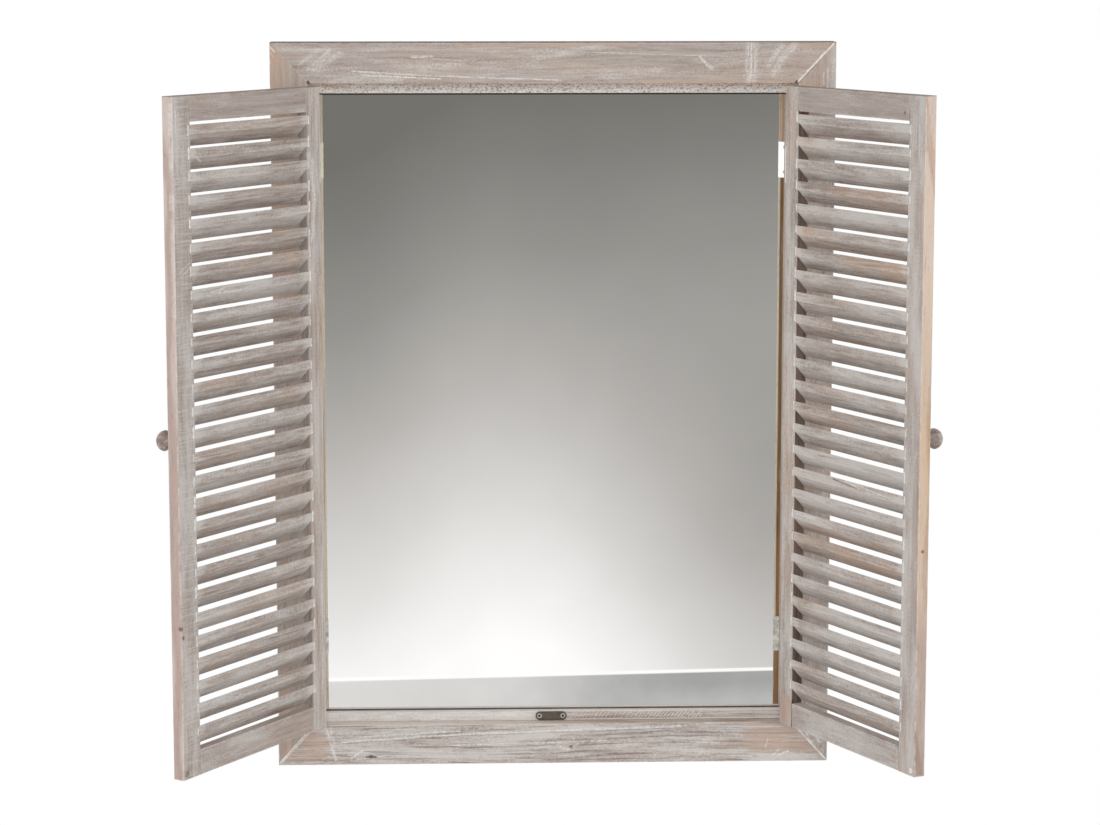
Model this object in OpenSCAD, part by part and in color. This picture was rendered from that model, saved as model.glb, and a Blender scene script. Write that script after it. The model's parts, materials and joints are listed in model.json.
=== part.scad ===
// Wall mirror behind a pair of louvred shutters, shown with both shutters swung open.
// X runs to the right, Y away from the viewer and into the wall, Z up, in millimetres.
// The origin lies on the wall plane, at the middle of the top board's back face.

/* [Frame] */
// Overall width of the frame
frame_w = 620; // [460:5:900]
// Overall height of the frame
frame_h = 810; // [620:5:1200]
// Face width of the left and right boards
side_w = 41; // [36:1:60]
// Face width of the top board
top_w = 45; // [42:1:60]
// Face width of the bottom board
bottom_w = 46; // [36:1:60]
// Radius of the worn long edges of the boards
board_ease = 1.5; // [0.5:0.1:3]
// Width of the open line along each mitre
mitre_gap = 0.4; // [0.1:0.1:1]

/* [Stops and glass] */
// How far each stop batten stands into the opening
stop_w = 11; // [10.5:0.5:16]
// Depth of the stop battens, from the shutters to the glass
stop_t = 12; // [7:0.5:16]
// Radius of the stop battens' long edges
stop_ease = 0.8; // [0.3:0.1:2]
// Thickness of the mirror glass
glass_t = 4; // [3:0.5:6]
// Play between the glass and the boards round it
glass_play = 0.8; // [0.3:0.1:2]

/* [Back] */
// Thickness of the backing panel
back_t = 3; // [2.5:0.5:6]
// Depth of the panel below the back of the frame
back_recess = 2; // [1:0.5:5]
// Width of the rebate that the panel lies in
rebate_w = 10; // [9:0.5:14]
// Play between the panel and the rebate's sides
back_play = 0.8; // [0.3:0.1:2]
// Radius of the back screws' heads
back_screw_head_r = 2.8; // [2.4:0.1:3.4]
// Radius of the back screws' shanks
back_screw_r = 1.4; // [1:0.1:1.8]
// Length of the back screws
back_screw_l = 14; // [10:1:20]
// Widest spacing between the back screws
back_screw_pitch = 280; // [120:10:400]
// Distance from the opening's corner to the first back screw
back_screw_end = 86; // [40:1:120]

/* [Mitre nails] */
// Length of each leg of a mitre nail
vnail_leg = 5; // [3:0.5:7]
// Thickness of a mitre nail's strip
vnail_t = 0.8; // [0.5:0.1:1.2]
// Depth to which a mitre nail is driven
vnail_l = 9; // [6:1:14]
// Angle between a mitre nail's leg and the mitre
vnail_angle = 50; // [35:1:65]
// Depth of a mitre nail's edge below the back of the frame
vnail_set = 0.6; // [0.3:0.1:1.5]

/* [Hangers] */
// Distance from the frame's side to the middle of a hanger
hanger_end = 110; // [60:5:180]
// Width of a hanger plate
hanger_w = 44; // [38:1:60]
// Height of a hanger plate
hanger_h = 20; // [19:0.5:22]
// Thickness of a hanger plate
hanger_t = 1.2; // [0.8:0.1:2]
// Radius of a hanger plate's corners
hanger_ease = 1.5; // [0.5:0.1:3]
// Radius of the keyhole's round part, where the wall screw's head enters
keyhole_r = 4.5; // [4:0.1:5]
// Width of the keyhole's slot, for the wall screw's shank
keyslot_w = 4.4; // [3.6:0.1:5]
// Rise from the keyhole's centre to the slot's top centre
keyslot_rise = 6; // [5:0.5:7]
// Depth of the pocket behind the plate
pocket_d = 9; // [5:0.5:12]
// Play between the keyhole and the pocket's sides
pocket_play = 1.5; // [0.5:0.1:2]
// Distance between a hanger's two screws
hanger_screw_gap = 32; // [26:1:40]

/* [Shutters] */
// Angle of the left shutter from closed
left_open = 122; // [0:0.5:178]
// Angle of the right shutter from closed
right_open = 116; // [0:0.5:178]
// Thickness of the shutters
shutter_t = 13; // [11:0.5:20]
// Depth between a closed shutter and the stops
closing_gap = 2; // [2:0.1:4]
// Gap above and below a closed shutter
end_gap = 2; // [1:0.1:4]
// Gap between the two closed shutters
middle_gap = 2; // [1.5:0.1:4]
// Width of the hinge stile
hinge_stile_w = 26; // [24:1:50]
// Width of the free stile
free_stile_w = 30; // [26:1:50]
// Height of the top and bottom rails
rail_h = 27; // [24:1:60]
// Radius of the shutters' worn edges
shutter_ease = 0.8; // [0.3:0.1:2]

/* [Slats] */
// Distance from one slat to the next
slat_pitch = 24.3; // [22:0.1:40]
// Thickness of a slat
slat_t = 6.8; // [5:0.1:8]
// Angle of the slats from level
slat_angle = 48; // [30:1:50]
// Depth to which a slat is let into each stile
slat_house = 3.5; // [2:0.5:8]
// Play round a slat in its housing
slat_fit = 0.1; // [0.05:0.05:0.3]
// Radius of the slats' worn edges
slat_ease = 0.5; // [0.3:0.1:2]

/* [Dowels] */
// Radius of the dowels between rails and stiles
dowel_r = 2.5; // [2:0.1:4]
// Length of a dowel
dowel_l = 30; // [16:1:36]
// Distance between the two dowels of a joint
dowel_gap = 15; // [10:0.5:16]
// Radial play of a dowel in its hole
dowel_fit = 0.05; // [0.02:0.01:0.1]

/* [Hinges] */
// Height of a hinge
hinge_h = 40; // [30:1:60]
// Distance from a shutter's end to its hinge's middle
hinge_end = 86; // [50:1:120]
// Thickness of a hinge leaf
leaf_t = 0.9; // [0.6:0.1:1.5]
// Play between the two leaves of a closed hinge
leaf_play = 0.2; // [0.1:0.05:0.5]
// Outer radius of the knuckles
knuckle_r = 2.3; // [2.2:0.1:3]
// Distance of the knuckles in front of the frame
knuckle_stand = 0.3; // [0.2:0.1:0.6]
// Play between one knuckle and the next
knuckle_play = 0.2; // [0.1:0.05:0.4]
// Radius of the hinge pin
pin_r = 1; // [0.8:0.1:1.2]
// Radial play of the pin in its knuckles
pin_fit = 0.05; // [0.02:0.01:0.09]
// Radius of the pin's two peened ends
pin_head_r = 1.8; // [1.4:0.1:2.2]
// Thickness of a peened end
pin_head_t = 0.7; // [0.4:0.1:1]
// Distance between the two screws of a leaf
leaf_screw_gap = 28; // [20:1:30]
// Depth of a leaf's screws behind the front of the frame
leaf_screw_y = 5; // [4:0.5:7]
// Radius of a leaf screw's head
leaf_screw_head_r = 2.2; // [1.8:0.1:2.5]
// Radius of a leaf screw's shank
leaf_screw_r = 1.1; // [0.8:0.1:1.3]
// Length of a leaf screw
leaf_screw_l = 13; // [8:1:18]

/* [Catch] */
// How far the strike plate sits to the right of the middle
catch_x = -2.4; // [-5:0.1:5]
// Width of the strike plate
catch_w = 35; // [30:1:60]
// Height of the strike plate
catch_h = 10; // [7:0.5:10.5]
// Thickness of the strike plate
catch_t = 1.4; // [1:0.1:1.5]
// Distance between the strike plate's screws
catch_screw_gap = 26.5; // [22:0.5:28]
// Radius of a strike screw's head
catch_screw_head_r = 2.7; // [2.2:0.1:3]
// Radius of a strike screw's shank
catch_screw_r = 1.3; // [1:0.1:1.5]
// Length of a strike screw
catch_screw_l = 9; // [6:0.5:9.5]
// Radius of a catch magnet
magnet_r = 3.25; // [2.5:0.25:4]
// Length of a catch magnet
magnet_l = 3; // [2:0.5:5]
// Height of a magnet above the stile's face
magnet_proud = 0.3; // [0:0.1:0.4]
// Distance of a magnet from the stile's free edge
magnet_edge = 6; // [5:0.5:9]
// Distance of a magnet from the shutter's bottom
magnet_up = 6; // [5:0.5:8]

/* [Knobs] */
// Radius of a knob's head
knob_r = 11; // [8:0.5:15]
// Height of a knob above the shutter
knob_l = 22; // [16:1:30]
// Height of the domed part of the head
knob_dome = 9; // [5:0.5:11]
// Radius of the knob's foot
knob_foot_r = 6; // [5.5:0.5:8]
// Radius of the knob's waist
knob_waist_r = 5.2; // [4.5:0.1:5.4]
// Radius of the knob's glued peg
knob_peg_r = 4; // [3:0.5:4.5]
// Length of the knob's glued peg
knob_peg_l = 9; // [6:0.5:10]
// Distance of a knob from the stile's free edge
knob_edge = 13.5; // [11.5:0.5:15]

/* [Fits] */
// Radial play of screws, pegs, pins and magnets in their wood
wood_fit = 0.05; // [0.02:0.01:0.1]
// Radius of the pins that hold the stops
brad_r = 0.7; // [0.5:0.1:1]
// Length of the pins that hold the stops
brad_l = 20; // [15:1:25]
// Depth of a pin's head below the stop's edge
brad_set = 0.6; // [0.3:0.1:1.5]
// Widest spacing between the pins of a stop
brad_pitch = 230; // [100:10:300]
// Distance from the opening's corner to a stop's first pin
brad_end = 27.5; // [20:0.5:50]

/* [Hidden] */
$fn = 48;

eps = 0.01;    // overlap of joined shapes
past = 5;      // how far a cutter runs past what it cuts
left = -1;
right = 1;

// Shares of a screw head's radius: length and width of its cross, and length of its point
cross_arm = 1.1;
cross_slot = 0.2;
screw_tip = 1.5;
// Places of the mitre nails, as shares of the flat back from the corner to the rebate
vnail_shares = [0.36, 0.7];
// Share of a knob's height below its dome that is a plain waist, and how its flare swells
knob_waist = 0.2;
knob_swell = 0.8;
knob_rings = 8;
// Points to each round corner of a slat
slat_rounds = 3;

// Depths, counted from the wall plane towards the viewer
frame_d = shutter_t + closing_gap + stop_t + glass_t + back_t + back_recess;
front_y = -frame_d;
stop_y = front_y + shutter_t + closing_gap;
glass_y = stop_y + stop_t;
panel_y = glass_y + glass_t;

// Edges of the frame and of its opening
top_z = top_w / 2;
base_z = top_z - frame_h;
open_top = top_z - top_w;
open_base = base_z + bottom_w;
open_w = frame_w - 2 * side_w;
open_h = open_top - open_base;
open_mid = (open_top + open_base) / 2;
flat_z = (top_z + open_top + rebate_w) / 2;    // middle of the top board's flat back
hanger_x = frame_w / 2 - hanger_end;

// Hinge pins stand at the joint line, just in front of the frame
pin_gap = leaf_t + leaf_play / 2;
pin_x = open_w / 2 - pin_gap;
pin_stand = knuckle_r + knuckle_stand;
pin_y = front_y - pin_stand;

// Each shutter fills half of the opening
shutter_w = pin_x - pin_gap - middle_gap / 2;
shutter_base = open_base + end_gap;
shutter_top = open_top - end_gap;
shutter_h = shutter_top - shutter_base;
shutter_mid = (shutter_top + shutter_base) / 2;
hinge_zs = [shutter_top - hinge_end, shutter_base + hinge_end];
louvre_w = shutter_w - hinge_stile_w - free_stile_w;

// Slats are cut flush with both faces of the shutter
slat_nose = slat_t / cos(slat_angle);
slat_drop = shutter_t * tan(slat_angle);
slat_rise = slat_nose + slat_drop;
louvre_h = shutter_h - 2 * rail_h;
slat_count = floor((louvre_h - slat_rise) / slat_pitch) + 1;
slat_margin = (louvre_h - slat_rise - (slat_count - 1) * slat_pitch) / 2;
slat_top = shutter_top - rail_h - slat_margin;

wood = "#b8aba0";
slat_wood = "#b3a498";
pine = "#d9bfa2";
steel = "#c9c9c6";
dark_steel = "#6f675f";
hardboard = "#8a6b4c";

// ---- Shared shapes ----

// Rectangle from the origin with true round corners
module eased_rect(w, h, r) {
    translate([r, 0]) square([w - 2 * r, h]);
    translate([0, r]) square([w, h - 2 * r]);
    for (x = [r, w - r], y = [r, h - r])
        translate([x, y]) circle(r);
}

// Upright bar with round long edges, from its low corner
module upright_bar(x, y, h, r) {
    linear_extrude(h) eased_rect(x, y, r);
}

// Level bar along X with round long edges, from its low corner
module level_bar(l, y, z, r) {
    rotate([90, 0, 90]) linear_extrude(l) eased_rect(y, z, r);
}

// Flat outline in X and Z, given thickness from y0 to y1
module plate_xz(y0, y1) {
    translate([0, y1, 0]) rotate([90, 0, 0]) linear_extrude(y1 - y0) children();
}

// Countersunk screw pointing down, its head level with the origin
module csk_screw(head_r, shank_r, length, play = 0) {
    hr = head_r + play;
    sr = shank_r + play;
    tip = sr * screw_tip;
    rotate_extrude()
        polygon([[0, 0], [hr, 0], [sr, sr - hr], [sr, tip - length - play], [0, -length - play]]);
}

// Cross recess in a screw's head
module cross_recess(head_r) {
    arm = head_r * cross_arm;
    slot = head_r * cross_slot;
    for (a = [0, 90])
        rotate(a) translate([-arm / 2, -slot / 2, -slot * 2]) cube([arm, slot, slot * 2 + past]);
}

module cross_screw(head_r, shank_r, length) {
    difference() {
        csk_screw(head_r, shank_r, length);
        cross_recess(head_r);
    }
}

// Turns what points down to point towards +X, -Y or +Y
module point_right() { rotate([0, -90, 0]) children(); }
module point_front() { rotate([-90, 0, 0]) children(); }
module point_back() { rotate([90, 0, 0]) children(); }

// Even places between two ends, no further apart than pitch
function spread(a, b, pitch) =
    let (n = max(1, ceil(abs(b - a) / pitch)))
    [for (i = [0:n]) a + (b - a) * i / n];

// Corner p1 of an outline, rounded to radius r with n chords
function eased_corner(p0, p1, p2, r, n) =
    let (u = (p0 - p1) / norm(p0 - p1),
         v = (p2 - p1) / norm(p2 - p1),
         half = acos(u * v) / 2,
         mid = (u + v) / norm(u + v),
         c = p1 + mid * r / sin(half),
         a = atan2(-mid[1], -mid[0]),
         turn = (u[0] * v[1] - u[1] * v[0] > 0) ? -1 : 1)
    [for (i = [0:n])
        let (b = a + turn * (i / n - 0.5) * (180 - 2 * half))
        c + r * [cos(b), sin(b)]];

function eased_outline(points, r, n) =
    let (m = len(points))
    [for (i = [0:m - 1])
        each eased_corner(points[(i + m - 1) % m], points[i], points[(i + 1) % m], r, n)];

// ---- Frame boards ----

// Prism that holds one board's share of the mitred frame; the sides are named by number
module mitre_share(side) {
    ox = frame_w / 2;
    ix = open_w / 2;
    g = mitre_gap / 2;
    outlines = [
        [[-ox + g, top_z + past], [ox - g, top_z + past], [ox - g, top_z], [ix - g, open_top],
         [-ix + g, open_top], [-ox + g, top_z]],
        [[-ox + g, base_z], [-ix + g, open_base], [ix - g, open_base], [ox - g, base_z],
         [ox - g, base_z - past], [-ox + g, base_z - past]],
        [[-ox - past, top_z - g], [-ox, top_z - g], [-ix, open_top - g], [-ix, open_base + g],
         [-ox, base_z + g], [-ox - past, base_z + g]],
        [[ox + past, top_z - g], [ox + past, base_z + g], [ox, base_z + g], [ix, open_base + g],
         [ix, open_top - g], [ox, top_z - g]]
    ];
    plate_xz(front_y - past, past) polygon(outlines[side]);
}

// Shallow rebate round the back of the opening
module back_rebate() {
    w = open_w + 2 * rebate_w;
    h = open_h + 2 * rebate_w;
    translate([-w / 2, panel_y, open_mid - h / 2]) cube([w, back_t + back_recess + past, h]);
}

module top_board_blank() {
    intersection() {
        translate([-frame_w / 2, front_y, open_top]) level_bar(frame_w, frame_d, top_w, board_ease);
        mitre_share(0);
    }
}

module bottom_board_blank() {
    intersection() {
        translate([-frame_w / 2, front_y, base_z]) level_bar(frame_w, frame_d, bottom_w, board_ease);
        mitre_share(1);
    }
}

module side_board_blank(side) {
    x = side == left ? -frame_w / 2 : open_w / 2;
    intersection() {
        translate([x, front_y, base_z]) upright_bar(side_w, frame_d, frame_h, board_ease);
        mitre_share(side == left ? 2 : 3);
    }
}

module top_board() {
    color(wood) difference() {
        top_board_blank();
        back_rebate();
        mitre_nail_set(wood_fit);
        backing_screw_set(wood_fit);
        stop_pin_set(wood_fit);
        for (side = [left, right]) {
            translate([side * hanger_x, 0, flat_z]) hanger_pocket();
        }
        hanger_screw_set(wood_fit);
    }
}

module bottom_board() {
    color(wood) difference() {
        bottom_board_blank();
        back_rebate();
        mitre_nail_set(wood_fit);
        backing_screw_set(wood_fit);
        stop_pin_set(wood_fit);
    }
}

module side_board(side) {
    color(wood) difference() {
        side_board_blank(side);
        back_rebate();
        mitre_nail_set(wood_fit);
        backing_screw_set(wood_fit);
        stop_pin_set(wood_fit);
        frame_leaf_screw_set(wood_fit);
    }
}

// ---- Mitre nails: bent strips driven across each mitre from behind ----

// One bent strip, its legs opening towards +X
module mitre_nail(play) {
    for (a = [-vnail_angle, vnail_angle])
        rotate(a) translate([-vnail_t / 2 - play, -vnail_t / 2 - play])
            square([vnail_leg + 2 * play, vnail_t + 2 * play]);
}

// Two strips share each mitre's flat back, between the corner and the rebate
module mitre_nail_set(play) {
    for (sx = [left, right], sz = [0, 1], share = vnail_shares) {
        corner = [sx * frame_w / 2, sz == 1 ? top_z : base_z];
        inner = [sx * open_w / 2, sz == 1 ? open_top : open_base];
        rebate = [sx * (open_w / 2 + rebate_w), sz == 1 ? open_top + rebate_w : open_base - rebate_w];
        reach = norm(rebate - corner) * share;
        along = (inner - corner) / norm(inner - corner);
        at = corner + along * reach;
        translate([at[0], 0, at[1]])
            plate_xz(-vnail_l - play, play > 0 ? past : -vnail_set)
                rotate(atan2(along[1], along[0])) mitre_nail(play);
    }
}

module mitre_nails() { color(steel) mitre_nail_set(0); }

// ---- Stop battens: what the shutters close against, and what the glass rests behind ----

module top_stop() {
    color(wood) difference() {
        translate([-open_w / 2, stop_y, open_top - stop_w]) level_bar(open_w, stop_t, stop_w, stop_ease);
        stop_pin_set(wood_fit);
    }
}

module bottom_stop() {
    color(wood) difference() {
        translate([-open_w / 2, stop_y, open_base]) level_bar(open_w, stop_t, stop_w, stop_ease);
        stop_pin_set(wood_fit);
        strike_screw_set(wood_fit);
    }
}

module side_stop(side) {
    x = side == left ? -open_w / 2 : open_w / 2 - stop_w;
    color(wood) difference() {
        translate([x, stop_y, open_base + stop_w])
            upright_bar(stop_w, stop_t, open_h - 2 * stop_w, stop_ease);
        stop_pin_set(wood_fit);
    }
}

// One pin pointing down, its head set below the origin
module stop_pin(play) {
    top = play > 0 ? past : -brad_set;
    translate([0, 0, -brad_set - brad_l - play]) cylinder(r = brad_r + play, h = brad_l + brad_set + play + top);
}

// Pins go through the stops into the boards all round
module stop_pin_set(play) {
    y = stop_y + stop_t / 2;
    for (x = spread(-open_w / 2 + brad_end, open_w / 2 - brad_end, brad_pitch)) {
        translate([x, y, open_base + stop_w]) stop_pin(play);
        translate([x, y, open_top - stop_w]) rotate([180, 0, 0]) stop_pin(play);
    }
    for (z = spread(open_base + brad_end, open_top - brad_end, brad_pitch)) {
        translate([-open_w / 2 + stop_w, y, z]) rotate([0, 90, 0]) stop_pin(play);
        translate([open_w / 2 - stop_w, y, z]) rotate([0, -90, 0]) stop_pin(play);
    }
}

module stop_pins() { color(steel) stop_pin_set(0); }

// ---- Glass and back ----

module mirror_glass() {
    w = open_w - 2 * glass_play;
    h = open_h - 2 * glass_play;
    color("#dfe3e4") translate([-w / 2, glass_y, open_mid - h / 2]) cube([w, glass_t, h]);
}

module backing_panel() {
    w = open_w + 2 * (rebate_w - back_play);
    h = open_h + 2 * (rebate_w - back_play);
    color(hardboard) difference() {
        translate([-w / 2, panel_y, open_mid - h / 2]) cube([w, back_t, h]);
        backing_screw_set(wood_fit);
    }
}

// Screws through the panel's edge into the floor of the rebate
module backing_screw_set(play) {
    inset = rebate_w / 2;
    x1 = open_w / 2 + inset;
    z0 = open_base - inset;
    z1 = open_top + inset;
    xs = spread(-open_w / 2 + back_screw_end, open_w / 2 - back_screw_end, back_screw_pitch);
    zs = spread(open_base + back_screw_end, open_top - back_screw_end, back_screw_pitch);
    places = concat([for (x = xs, z = [z0, z1]) [x, z]], [for (x = [-x1, x1], z = zs) [x, z]]);
    for (p = places)
        translate([p[0], panel_y + back_t, p[1]])
            point_front() csk_screw(back_screw_head_r, back_screw_r, back_screw_l, play);
}

module backing_screws() { color(steel) backing_screw_set(0); }

// ---- Hangers: keyhole plates let into the back of the top board ----

module keyhole() {
    translate([0, -keyslot_rise / 2]) circle(keyhole_r);
    translate([0, keyslot_rise / 2]) circle(keyslot_w / 2);
    translate([-keyslot_w / 2, -keyslot_rise / 2]) square([keyslot_w, keyslot_rise]);
}

module hanger(side) {
    color(steel) difference() {
        translate([side * hanger_x, 0, flat_z])
            plate_xz(-hanger_t, 0) difference() {
                translate([-hanger_w / 2, -hanger_h / 2]) eased_rect(hanger_w, hanger_h, hanger_ease);
                keyhole();
            }
        hanger_screw_set(wood_fit);
    }
}

// Seat for the plate, and room behind it for the wall screw's head
module hanger_pocket() {
    w = 2 * (keyhole_r + pocket_play);
    low = -keyslot_rise / 2 - w / 2;
    high = keyslot_rise / 2 + w / 2;
    plate_xz(-hanger_t, past)
        translate([-hanger_w / 2 - wood_fit, -hanger_h / 2 - wood_fit])
            eased_rect(hanger_w + 2 * wood_fit, hanger_h + 2 * wood_fit, hanger_ease);
    plate_xz(-hanger_t - pocket_d, past) {
        translate([-w / 2, low + w / 2]) square([w, high - low - w]);
        translate([0, low + w / 2]) circle(w / 2);
        translate([0, high - w / 2]) circle(w / 2);
    }
}

module hanger_screw_set(play) {
    for (side = [left, right], sx = [-1, 1])
        translate([side * hanger_x + sx * hanger_screw_gap / 2, 0, flat_z])
            point_front() csk_screw(back_screw_head_r, back_screw_r, back_screw_l, play);
}

module hanger_screws() { color(steel) hanger_screw_set(0); }

// ---- Catch: a strike plate on the bottom stop, and a magnet in each shutter ----

module strike_plate() {
    flat = catch_w - catch_h;
    color(dark_steel) difference() {
        translate([catch_x, 0, open_base + stop_w / 2])
            plate_xz(stop_y - catch_t, stop_y) {
                translate([-flat / 2, -catch_h / 2]) square([flat, catch_h]);
                for (sx = [-1, 1]) translate([sx * flat / 2, 0]) circle(catch_h / 2);
            }
        strike_screw_set(wood_fit);
    }
}

module strike_screw_places() {
    for (sx = [-1, 1])
        translate([catch_x + sx * catch_screw_gap / 2, stop_y - catch_t, open_base + stop_w / 2])
            point_back() children();
}

module strike_screw_set(play) {
    strike_screw_places() csk_screw(catch_screw_head_r, catch_screw_r, catch_screw_l, play);
}

module strike_screws() {
    color(steel) strike_screw_places() cross_screw(catch_screw_head_r, catch_screw_r, catch_screw_l);
}

// ---- Hinges, drawn for the right side with the pin at the origin ----

// A leaf on the pin's +X side; knuckles lists the heights of its knuckles
module hinge_leaf(knuckles) {
    inset = leaf_play / 2;
    reach = pin_stand + shutter_t - leaf_play;
    color(steel) difference() {
        union() {
            translate([inset, pin_stand, -hinge_h / 2]) cube([leaf_t, reach - pin_stand, hinge_h]);
            for (k = knuckles) {
                translate([inset, 0, k[0]]) cube([leaf_t, pin_stand + eps, k[1] - k[0]]);
                translate([0, 0, k[0]]) cylinder(r = knuckle_r, h = k[1] - k[0]);
            }
        }
        translate([0, 0, -hinge_h]) cylinder(r = pin_r + pin_fit, h = 2 * hinge_h);
        leaf_screw_places() csk_screw(leaf_screw_head_r, leaf_screw_r, leaf_screw_l, wood_fit);
    }
}

// Three knuckles: the frame's leaf has the outer two, the shutter's the middle one
knuckle_h = (hinge_h - 2 * knuckle_play) / 3;
outer_knuckles = [[-hinge_h / 2, knuckle_h - hinge_h / 2], [hinge_h / 2 - knuckle_h, hinge_h / 2]];
middle_knuckle = [[-knuckle_h / 2, knuckle_h / 2]];

// Puts screws on a leaf's face, driven away from the pin
module leaf_screw_places() {
    for (sz = [-1, 1])
        translate([leaf_play / 2, pin_stand + leaf_screw_y, sz * leaf_screw_gap / 2])
            point_right() children();
}

module hinge_pin() {
    l = hinge_h + 2 * pin_head_t;
    color(steel) rotate_extrude()
        polygon([[0, -l / 2], [pin_head_r - pin_head_t / 2, -l / 2], [pin_head_r, -l / 2 + pin_head_t / 2],
                 [pin_head_r, -hinge_h / 2], [pin_r, -hinge_h / 2], [pin_r, hinge_h / 2],
                 [pin_head_r, hinge_h / 2], [pin_head_r, l / 2 - pin_head_t / 2],
                 [pin_head_r - pin_head_t / 2, l / 2], [0, l / 2]]);
}

// Places a hinge of the frame: side is left or right, z its middle height
module at_hinge(side, z) {
    translate([side * pin_x, pin_y, z]) mirror([side == left ? 1 : 0, 0, 0]) children();
}

module frame_leaf(side, z) { at_hinge(side, z) hinge_leaf(outer_knuckles); }

module frame_leaf_screw_set(play) {
    for (side = [left, right], z = hinge_zs)
        at_hinge(side, z) leaf_screw_places() csk_screw(leaf_screw_head_r, leaf_screw_r, leaf_screw_l, play);
}

module frame_leaf_screws() {
    color(steel) for (side = [left, right], z = hinge_zs)
        at_hinge(side, z) leaf_screw_places() cross_screw(leaf_screw_head_r, leaf_screw_r, leaf_screw_l);
}

// ---- Shutters, drawn closed for the right side with the pin at the origin in X and Y ----

hinge_edge = -pin_gap;                // X of the shutter's hinge edge
free_edge = hinge_edge - shutter_w;   // X of its free edge
outer_face = pin_stand;               // Y of its outer face
inner_face = pin_stand + shutter_t;   // Y of its inner face
louvre_x = free_edge + free_stile_w;  // X where the free stile ends

// Swings a closed shutter part about its pin to the angle shown
module swung(side) {
    translate([side * pin_x, pin_y, 0])
        rotate(side == left ? -left_open : right_open)
            mirror([side == left ? 1 : 0, 0, 0]) children();
}

module stile_blank(x, w) {
    translate([x, outer_face, shutter_base]) upright_bar(w, shutter_t, shutter_h, shutter_ease);
}

module hinge_stile(side) {
    color(wood) swung(side) difference() {
        stile_blank(hinge_edge - hinge_stile_w, hinge_stile_w);
        slat_housings();
        dowel_set(dowel_fit);
        shutter_leaf_screw_places() csk_screw(leaf_screw_head_r, leaf_screw_r, leaf_screw_l, wood_fit);
    }
}

module free_stile(side) {
    color(wood) swung(side) difference() {
        stile_blank(free_edge, free_stile_w);
        slat_housings();
        dowel_set(dowel_fit);
        knob_place() cylinder(r = knob_peg_r + wood_fit, h = knob_peg_l + wood_fit);
        magnet_place() cylinder(r = magnet_r + wood_fit, h = 2 * magnet_l);
    }
}

module rail(side, base) {
    color(wood) swung(side) difference() {
        translate([louvre_x, outer_face, base]) level_bar(louvre_w, shutter_t, rail_h, shutter_ease);
        dowel_set(dowel_fit);
    }
}

module top_rail(side) { rail(side, shutter_top - rail_h); }
module bottom_rail(side) { rail(side, shutter_base); }

// Dowels lie level, half in the rail and half in the stile
module dowel_set(play) {
    for (x = [louvre_x, louvre_x + louvre_w],
         rail_mid = [shutter_top - rail_h / 2, shutter_base + rail_h / 2],
         s = [-1, 1])
        translate([x - dowel_l / 2 - play, (outer_face + inner_face) / 2, rail_mid + s * dowel_gap / 2])
            rotate([0, 90, 0]) cylinder(r = dowel_r + play, h = dowel_l + 2 * play);
}

module dowels(side) { color(pine) swung(side) dowel_set(0); }

// Slat outline in Y and Z, its top inner edge at Z = 0; the inner edge is high, the outer one low
function slat_outline(run, grow) =
    let (y0 = outer_face - run, y1 = inner_face + run, fall = run * tan(slat_angle))
    [[y1, fall + grow], [y0, -slat_drop - fall + grow],
     [y0, -slat_rise - fall - grow], [y1, -slat_nose + fall - grow]];

module slat_bar(points, x, l) {
    translate([x, 0, 0]) rotate([90, 0, 90]) linear_extrude(l) polygon(points);
}

module slat_places() {
    for (i = [0:slat_count - 1]) translate([0, 0, slat_top - i * slat_pitch]) children();
}

module slats(side) {
    inset = slat_house - slat_fit;
    outline = eased_outline(slat_outline(0, 0), slat_ease, slat_rounds);
    color(slat_wood) swung(side)
        slat_places() slat_bar(outline, louvre_x - inset, louvre_w + 2 * inset);
}

// Slanted grooves across the stiles that take the slats' ends
module slat_housings() {
    slat_places()
        slat_bar(slat_outline(past, slat_fit), louvre_x - slat_house, louvre_w + 2 * slat_house);
}

// ---- Knobs, magnets and leaves on the shutters ----

// Stands on the outer face with +Z into the wood
module knob_place() {
    translate([free_edge + knob_edge, outer_face, shutter_mid]) rotate([-90, 0, 0]) children();
}

module knob(side) {
    belly = knob_l - knob_dome;
    flare = [for (i = [0:knob_rings])
        let (t = i / knob_rings)
        [knob_waist_r + (knob_r - knob_waist_r) * (1 - cos(90 * t)) ^ knob_swell,
         -belly * (knob_waist + (1 - knob_waist) * t)]];
    dome = [for (i = [1:knob_rings - 1])
        let (a = 90 * i / knob_rings)
        [knob_r * cos(a), -belly - knob_dome * sin(a)]];
    color("#8d7a70") swung(side) knob_place() rotate_extrude()
        polygon(concat([[0, knob_peg_l], [knob_peg_r, knob_peg_l], [knob_peg_r, 0], [knob_foot_r, 0]],
                       flare, dome, [[0, -knob_l]]));
}

// Sits in the inner face with +Z out of the wood
module magnet_place() {
    translate([free_edge + magnet_edge, inner_face - magnet_l + magnet_proud, shutter_base + magnet_up])
        rotate([-90, 0, 0]) children();
}

module magnet(side) {
    color(steel) swung(side) magnet_place() cylinder(r = magnet_r, h = magnet_l);
}

module shutter_leaf(side, z) {
    swung(side) translate([0, 0, z]) mirror([1, 0, 0]) hinge_leaf(middle_knuckle);
}

module shutter_leaf_screw_places() {
    for (z = hinge_zs) translate([0, 0, z]) mirror([1, 0, 0]) leaf_screw_places() children();
}

module leaf_screws(side) {
    color(steel) swung(side) shutter_leaf_screw_places()
        cross_screw(leaf_screw_head_r, leaf_screw_r, leaf_screw_l);
}

// ---- Nodes ----

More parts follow.
